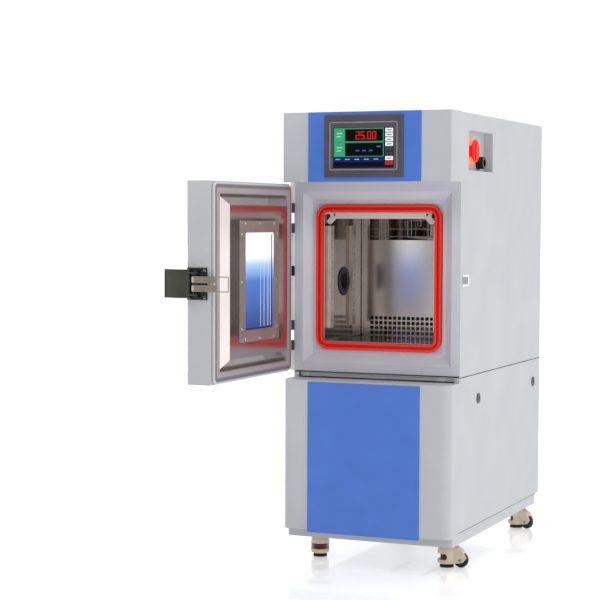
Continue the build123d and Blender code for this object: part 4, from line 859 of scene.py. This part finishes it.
@dataclass
class ScreenPicture:
    """The lit picture on the touch screen: plain fields, number windows, bars and a column of keys.

    It is a flat mosaic of rectangles. Places are shares of the lit area, from its upper left corner.
    """

    centre: tuple[float, float] = (-0.005, 1.323)
    size: tuple[float, float] = (0.213, 0.131)
    lift: float = 0.0001
    layer_step: float = 0.00005
    key: str = "#F2F4F6"
    idle_key: str = "#3B3E44"
    tiles: list[tuple[float, float, float, float, str, int]] = field(default_factory=list)

    def tile(self, left: float, top: float, right: float, low: float, colour: str, layer: int = 1) -> None:
        """Adds one rectangle of one colour on a layer."""
        self.tiles.append((left, top, right, low, colour, layer))

    def number(self, left: float, top: float, height: float, text: str, colour: str) -> None:
        """Adds a number in seven-bar figures.

        Args:
            left: the first figure's left side.
            top: its top.
            height: its height.
            text: digits and points.
            colour: the bars' colour.
        """
        bars = {
            "0": "abcdef", "1": "bc", "2": "abged", "3": "abgcd", "4": "fgbc", "5": "afgcd", "6": "afgedc",
            "7": "abc", "8": "abcdefg", "9": "abfgcd", ".": "p",
        }
        wide, thick = height * 0.32, height * 0.07
        tall, half = thick * 1.5, height / 2
        spots = {
            "a": (0, 0, wide, tall), "b": (wide - thick, 0, wide, half),
            "c": (wide - thick, half, wide, height), "d": (0, height - tall, wide, height),
            "e": (0, half, thick, height), "f": (0, 0, thick, half),
            "g": (0, (height - tall) / 2, wide, (height + tall) / 2),
            "p": (0, height - tall, thick, height),
        }
        for figure in text:
            for bar in bars[figure]:
                a, b, c, d = spots[bar]
                self.tile(left + a, top + b, left + c, top + d, colour, 3)
            left += thick * 2 if figure == "." else wide * 1.3

    def lay_out(self) -> None:
        """Places the fields as on a controller's main page."""
        self.tile(0, 0, 1, 1, "#0A1230", 0)
        self.tile(0.0, 0.0, 0.84, 0.73, "#2A9468")
        self.tile(0.012, 0.015, 0.182, 0.345, "#38A87C", 2)
        self.tile(0.012, 0.37, 0.182, 0.715, "#38A87C", 2)
        self.tile(0.05, 0.12, 0.145, 0.15, "#A8DCA0", 3)
        self.tile(0.05, 0.2, 0.12, 0.23, "#A8DCA0", 3)
        self.tile(0.05, 0.48, 0.145, 0.51, "#A8DCA0", 3)
        self.tile(0.05, 0.56, 0.12, 0.59, "#A8DCA0", 3)
        self.tile(0.193, 0.035, 0.823, 0.335, "#050607", 2)
        self.tile(0.193, 0.38, 0.823, 0.71, "#050607", 2)
        self.number(0.37, 0.09, 0.2, "25.00", "#F4201C")
        for step in range(3):
            self.tile(0.37 + step * 0.11, 0.56, 0.43 + step * 0.11, 0.59, "#3A62E8", 3)
        self.tile(0.72, 0.46, 0.79, 0.49, "#4C6FE0", 3)
        self.tile(0.0, 0.745, 0.84, 0.855, "#16245E")
        for step in range(5):
            self.tile(0.03 + step * 0.16, 0.78, 0.11 + step * 0.16, 0.805, "#8FA5E8", 2)
        self.tile(0.0, 0.875, 0.84, 0.945, "#040506")
        for step, colour in enumerate((*[self.key] * 4, *[self.idle_key] * 2, self.key, "#C81E1C")):
            top = 0.012 + step * 0.118
            self.tile(0.862, top, 0.992, top + 0.1, colour)
            if colour == self.key:
                self.tile(0.89, top + 0.04, 0.965, top + 0.062, "#4A4E58", 2)

    def make(self) -> bpy.types.Object:
        """Turns the rectangles into one mesh just above the screen's glass.

        Each corner is centre plus share times size, and each layer stands a step above the one under it.

        Returns:
            The picture.
        """
        self.lay_out()
        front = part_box("display_module")[0].y - self.lift
        data = np.array([t[:4] for t in self.tiles])
        layer = np.array([t[5] for t in self.tiles], float)
        colours = np.array([linear(t[4]) for t in self.tiles])
        x = self.centre[0] + (data[:, [0, 0, 2, 2]] - 0.5) * self.size[0]
        z = self.centre[1] + (0.5 - data[:, [1, 3, 3, 1]]) * self.size[1]
        y = np.repeat((front - layer * self.layer_step)[:, None], 4, 1)
        points = np.stack([x, y, z], -1)
        faces = np.arange(4 * len(data)).reshape(-1, 4)
        return mesh_piece(
            "screen_picture", points, faces, PICTURE, Body.CABINET.value, "screen_glass",
            np.repeat(colours, 4, 0), False,
        )


def loop_tube(
    width: float, height: float, corner: float, radius: float, centre: tuple, turns: int = 10
) -> tuple[np.ndarray, np.ndarray]:
    """Carries a small circle round a rectangle with rounded corners, in a plane that faces the front.

    The path is four quarter circles, each moved out to its corner. At each point the circle's plane holds
    the path's outward normal and the front's normal.

    Args:
        width: the path's width.
        height: its height.
        corner: its corner radius.
        radius: the tube's radius.
        centre: the middle of the path.
        turns: points round the tube.

    Returns:
        Points and faces.
    """
    steps = 7
    quarter = np.linspace(0, math.pi / 2, steps)
    angle = np.concatenate([quarter + k * math.pi / 2 for k in range(4)])
    sign = np.repeat(np.array([[1, 1], [-1, 1], [-1, -1], [1, -1]], float), steps, 0)
    outward = np.stack([np.cos(angle), np.sin(angle)], 1)
    spot = sign * np.array([width / 2 - corner, height / 2 - corner]) + outward * corner
    spin = np.linspace(0, 2 * math.pi, turns, endpoint=False)
    across = spot[:, None, :] + outward[:, None, :] * (radius * np.cos(spin))[None, :, None]
    depth = np.broadcast_to(centre[1] - radius * np.sin(spin), across.shape[:2])
    points = np.stack([centre[0] + across[..., 0], depth, centre[2] + across[..., 1]], -1)
    points = np.concatenate([points, points[:1]])
    return points, grid_faces(len(points), turns, True)


def slabs(boxes: np.ndarray) -> tuple[np.ndarray, np.ndarray]:
    """Turns rows of box corners into closed boxes.

    Args:
        boxes: rows of low x, y, z and high x, y, z.

    Returns:
        Points and faces.
    """
    pick = np.array([[i, j, k] for k in (0, 1) for j in (0, 1) for i in (0, 1)])
    corners = boxes.reshape(-1, 2, 3)
    points = np.stack([corners[:, pick[:, axis], axis] for axis in range(3)], -1)
    faces = np.array([[0, 2, 3, 1], [4, 5, 7, 6], [0, 1, 5, 4], [2, 6, 7, 3], [0, 4, 6, 2], [1, 3, 7, 5]])
    return points.reshape(-1, 3), repeated(faces, len(pick), len(boxes))


@dataclass
class Console:
    """The touch screen's picture and the bead round it."""

    centre: tuple[float, float, float] = (-0.005, -0.1101, 1.3285)
    bead: tuple[float, float] = (0.2385, 0.1565)
    bead_corner: float = 0.003
    bead_radius: float = 0.0009

    def dress(self) -> None:
        """Makes the bead and the picture."""
        points, faces = loop_tube(*self.bead, self.bead_corner, self.bead_radius, self.centre)
        mesh_piece("screen_bead", points, faces, TRIM_BEAD, Body.CABINET.value, "display_plastic")
        ScreenPicture().make()


def sleeve(
    centre: tuple, low: float, high: float, radius: float, turns: int = 24
) -> tuple[np.ndarray, np.ndarray]:
    """Turns a short barrel about an upright line, from a profile of radius against height.

    Its edges are broken by 0.6 mm.

    Args:
        centre: x and y of the line.
        low: its lower end.
        high: its upper end.
        radius: its radius.
        turns: points round it.

    Returns:
        Points and faces.
    """
    edge, core = 0.0006, 1e-5
    profile = np.array([
        (core, low), (radius - edge, low), (radius, low + edge), (radius, high - edge),
        (radius - edge, high), (core, high),
    ])
    angle = np.linspace(0, 2 * math.pi, turns, endpoint=False)
    x, y = centre[0] + profile[:, :1] * np.cos(angle), centre[1] + profile[:, :1] * np.sin(angle)
    points = np.stack([x, y, np.repeat(profile[:, 1:], turns, 1)], -1)
    return points, grid_faces(len(profile), turns, True)


@dataclass
class Door:
    """Small parts of the door at rest: its screws, the bail's sleeves, and the panes' edge spacers."""

    window_face: float = -0.2748
    pane_face: float = -0.2773
    middle: tuple[float, float] = (-0.336, 0.885)
    latch_face: float = -0.640

    def window_screws(self) -> None:
        """Drives twelve screws through the inner window frame."""
        wide, high = 0.136, 0.186
        inset_wide, inset_high = 0.110, 0.152
        across = [(a, b) for a in (-inset_wide, 0, inset_wide) for b in (-high, high)]
        beside = [(a, b) for a in (-wide, wide) for b in (-inset_high, 0, inset_high)]
        spots = np.array(
            [(self.window_face, self.middle[0] + a, self.middle[1] + b) for a, b in across + beside]
        )
        CrossScrew(radius=0.0046, rise=0.0012, rim=0.0009).fit(
            "window_screws", spots, Facing.RIGHT, Body.DOOR.value, "chrome_plate", CHROME
        )

    def latch_screws(self) -> None:
        """Drives four flat screws through the latch's base."""
        spots = np.array([(x, self.latch_face, z) for x in (-0.3775, -0.3225) for z in (0.840, 0.926)])
        head = CrossScrew(radius=0.0047, rise=0.0003, rim=0.0006, recess=0.0005, bar=0.0007, reach=0.003)
        head.fit(
            "latch_screws", spots, Facing.FRONT, Body.DOOR.value, "chrome_plate", CHROME
        )

    def sleeves(self) -> None:
        """Puts a chrome sleeve over each knuckle of the bail."""
        pin, radius = (-0.359, -0.648), 0.0056
        for name, low, high in (("upper", 0.8885, 0.9055), ("lower", 0.8605, 0.8775)):
            points, faces = sleeve(pin, low, high, radius)
            mesh_piece(f"bail_sleeve_{name}", points, faces, CHROME, Body.BAIL.value, "chrome_plate")

    def spacers(self) -> None:
        """Lays the edge spacers, with a painted glow, and a dark line of sealant along two sides on the
        inner pane.
        """
        face = self.pane_face
        bright = np.array([
            (face, y - w / 2, 0.736, face + 0.0002, y + w / 2, 0.985)
            for y, w in ((-0.3265, 0.0022), (-0.3000, 0.0028), (-0.2700, 0.0034), (-0.2500, 0.003))
        ])
        dark = np.array([
            (face, -0.2445, 0.7325, face + 0.0003, -0.2390, 1.035),
            (face, -0.4400, 0.7290, face + 0.0003, -0.2390, 0.7325),
        ])
        door = Body.DOOR.value
        mesh_piece("pane_spacers", *slabs(bright), GLAZING_SPACER, door, "stainless", smooth=False)
        mesh_piece("pane_sealant", *slabs(dark), BLACK_RUBBER, door, "black_rubber", smooth=False)

    def dress(self) -> None:
        """Makes all of them."""
        self.window_screws()
        self.latch_screws()
        self.sleeves()
        self.spacers()


@dataclass
class Cabinet:
    """Thin black strips laid in the joints between the side panels as painted shadow lines."""

    half: float = 0.300
    front: float = 0.002
    depth: float = 0.969
    base_depth: float = 0.938
    base_step: float = 0.002
    proud: float = 0.0004

    def joints(self) -> None:
        """Lays a painted shadow strip along each side at the middle and bottom joints."""
        joints = (
            (self.half, 0.5580, 0.5606, self.depth),
            (self.half - self.base_step, 0.0362, 0.0398, self.base_depth),
        )
        rows = []
        for side in (-1, 1):
            for edge, low, high, back in joints:
                a, b = sorted((side * (edge - self.proud), side * (edge + self.proud)))
                rows.append((a, self.front, low, b, back, high))
        points, faces = slabs(np.array(rows))
        mesh_piece(
            "painted_shadow_strips", points, faces, BLACK_RUBBER, Body.CABINET.value, "black_rubber", smooth=False
        )

    def dress(self) -> None:
        """Makes the strips."""
        self.joints()


@dataclass
class Caster:
    """Axle screws and plate bolts of one caster."""

    corner: str
    spot: tuple[float, float]
    heading: float
    offset: float = 0.050
    axle_height: float = -0.0665
    axle_half: float = 0.016
    bolt_offset: float = 0.028
    plate_underside: float = -0.005

    def dress(self) -> None:
        """Drives a screw into each end of the axle and a bolt into each corner of the plate."""
        turn = math.radians(self.heading)
        trail = np.array([math.cos(turn), math.sin(turn), 0])
        side = np.array([math.sin(turn), -math.cos(turn), 0])
        middle = np.array([*self.spot, self.axle_height]) + self.offset * trail
        for end, sign in (("near", 1), ("far", -1)):
            rows = np.array([sign * trail, (0, 0, 1), sign * side])
            CrossScrew(radius=0.0052, rise=0.0012, rim=0.001).fit(
                f"axle_screw_{end}_{self.corner}", (middle + sign * self.axle_half * side)[None], rows,
                f"caster_housing_{self.corner}", "zinc_plate", ZINC,
            )
        offsets = (-self.bolt_offset, self.bolt_offset)
        bolts = np.array(
            [(self.spot[0] + a, self.spot[1] + b, self.plate_underside) for a in offsets for b in offsets]
        )
        head = CrossScrew(
            radius=0.0062, rise=0.0014, rim=0.0016, recess=0.0015, bar=0.0009, reach=0.004, turns=24
        )
        head.fit(
            f"plate_bolts_{self.corner}", bolts, Facing.DOWN, Body.CABINET.value, "zinc_plate", ZINC
        )


@dataclass
class Studio:
    """The camera, the pale glossy floor and the soft light.

    The world's strength rises from front_share on the operator's side to surround behind the cabinet.
    sky_rise holds the Y of the two directions between which it does.
    """

    place: tuple[float, float, float] = (2.090, -5.403, 1.085)
    yaw: float = 22.947
    pitch: float = 3.276
    roll: float = -0.217
    lens: float = 102.78
    shift: tuple[float, float] = (-0.0365, 0.0292)
    surround: float = 1.05
    front_share: float = 0.16
    sky_rise: tuple[float, float] = (-0.9, 0.75)
    floor_reach: float = 60.0
    floor_gap: float = 0.0003

    def camera(self) -> None:
        """Sets the camera by its yaw, pitch and roll."""
        yaw, pitch, roll = (math.radians(v) for v in (self.yaw, self.pitch, self.roll))
        ahead = np.array(
            [-math.sin(yaw) * math.cos(pitch), math.cos(yaw) * math.cos(pitch), -math.sin(pitch)]
        )
        right = np.array([math.cos(yaw), math.sin(yaw), 0.0])
        down = np.cross(ahead, right)
        across = math.cos(roll) * right + math.sin(roll) * down
        below = -math.sin(roll) * right + math.cos(roll) * down
        turn = Matrix(np.stack([across, -below, -ahead], 1).tolist()).to_4x4()
        data = bpy.data.cameras.new("camera")
        data.lens, data.sensor_width = self.lens, 36.0
        data.shift_x, data.shift_y = self.shift
        data.clip_start, data.clip_end = 0.1, 200.0
        view = bpy.data.objects.new("camera", data)
        bpy.context.scene.collection.objects.link(view)
        view.matrix_world = Matrix.Translation(self.place) @ turn
        bpy.context.scene.camera = view

    def floor(self) -> None:
        """Lays a pale, slightly glossy floor."""
        finish = Finish(
            "pale polished floor", "#FAFAFB", "#F9F9FA", roughness=(0.05, 0.07), grain_mm=(900, 900, 900),
            relief_mm=0.0, patch_mm=9000.0, glow=0.36,
        )
        mesh = bpy.data.meshes.new("floor")
        reach, level = self.floor_reach, FLOOR - self.floor_gap
        corners = [(-reach, -reach), (reach, -reach), (reach, reach), (-reach, reach)]
        mesh.from_pydata([(x, y, level) for x, y in corners], [], [(0, 1, 2, 3)])
        mesh.materials.append(finish.build())
        ground = bpy.data.objects.new("floor", mesh)
        bpy.context.scene.collection.objects.link(ground)

    def lamp(self, name: str, place: tuple, aim: tuple, size: tuple, power: float) -> None:
        """Hangs one soft box.

        Args:
            name: its name.
            place: where it hangs.
            aim: the point it looks at.
            size: its width and height.
            power: watts.
        """
        data = bpy.data.lights.new(name, "AREA")
        data.shape, data.size, data.size_y = "RECTANGLE", size[0], size[1]
        data.energy = power
        lamp = bpy.data.objects.new(name, data)
        bpy.context.scene.collection.objects.link(lamp)
        way = np.array(aim, float) - np.array(place, float)
        back = -way / np.linalg.norm(way)
        side = np.cross((0, 0, 1), back)
        side = side / np.linalg.norm(side)
        turn = Matrix(np.stack([side, np.cross(back, side), back], 1).tolist()).to_4x4()
        lamp.matrix_world = Matrix.Translation(place) @ turn

    def light(self) -> None:
        """Sets the pale surround and the soft boxes."""
        world = bpy.data.worlds.new("pale surround")
        bpy.context.scene.world = world
        world.use_nodes = True
        tree = world.node_tree
        sky = tree.nodes["Background"]
        way = add_node(tree, "TexCoord").outputs["Generated"]
        ahead = add_node(tree, "SeparateXYZ", {0: way}).outputs["Y"]
        share = add_node(tree, "MapRange", {
            "Value": ahead, "From Min": self.sky_rise[0], "From Max": self.sky_rise[1],
            "To Min": self.front_share, "To Max": self.surround,
        })
        tree.links.new(share.outputs["Result"], sky.inputs["Strength"])
        sky.inputs["Color"].default_value = linear("#FBFCFD")
        self.lamp("ceiling box", (0.8, 0.6, 4.2), (0.1, 0.4, 0.5), (3.0, 3.0), 30.0)
        self.lamp("front box", (0.2, -2.3, 4.0), (0.0, -0.1, 0.8), (1.6, 1.0), 30.0)
        self.lamp("right box", (3.7, -1.7, 1.15), (0.2, -0.2, 0.8), (2.2, 2.4), 19.0)
        self.lamp("left box", (-3.0, -3.6, 2.6), (0.2, 0.1, 0.8), (1.4, 2.4), 10.0)

    def build(self) -> None:
        """Sets up the whole studio."""
        self.camera()
        self.floor()
        self.light()
        bpy.context.scene.view_settings.view_transform = "Standard"


def main() -> None:
    """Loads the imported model, dresses it and sets the studio."""
    logging.basicConfig(level=logging.INFO, format="%(message)s")
    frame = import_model()
    dress_nodes(frame["nodes"])
    Cabinet().dress()
    Console().dress()
    Door().dress()
    for corner, spot, heading in CASTERS:
        Caster(corner, spot, heading).dress()
    Studio().build()


if __name__ == "__main__":
    main()
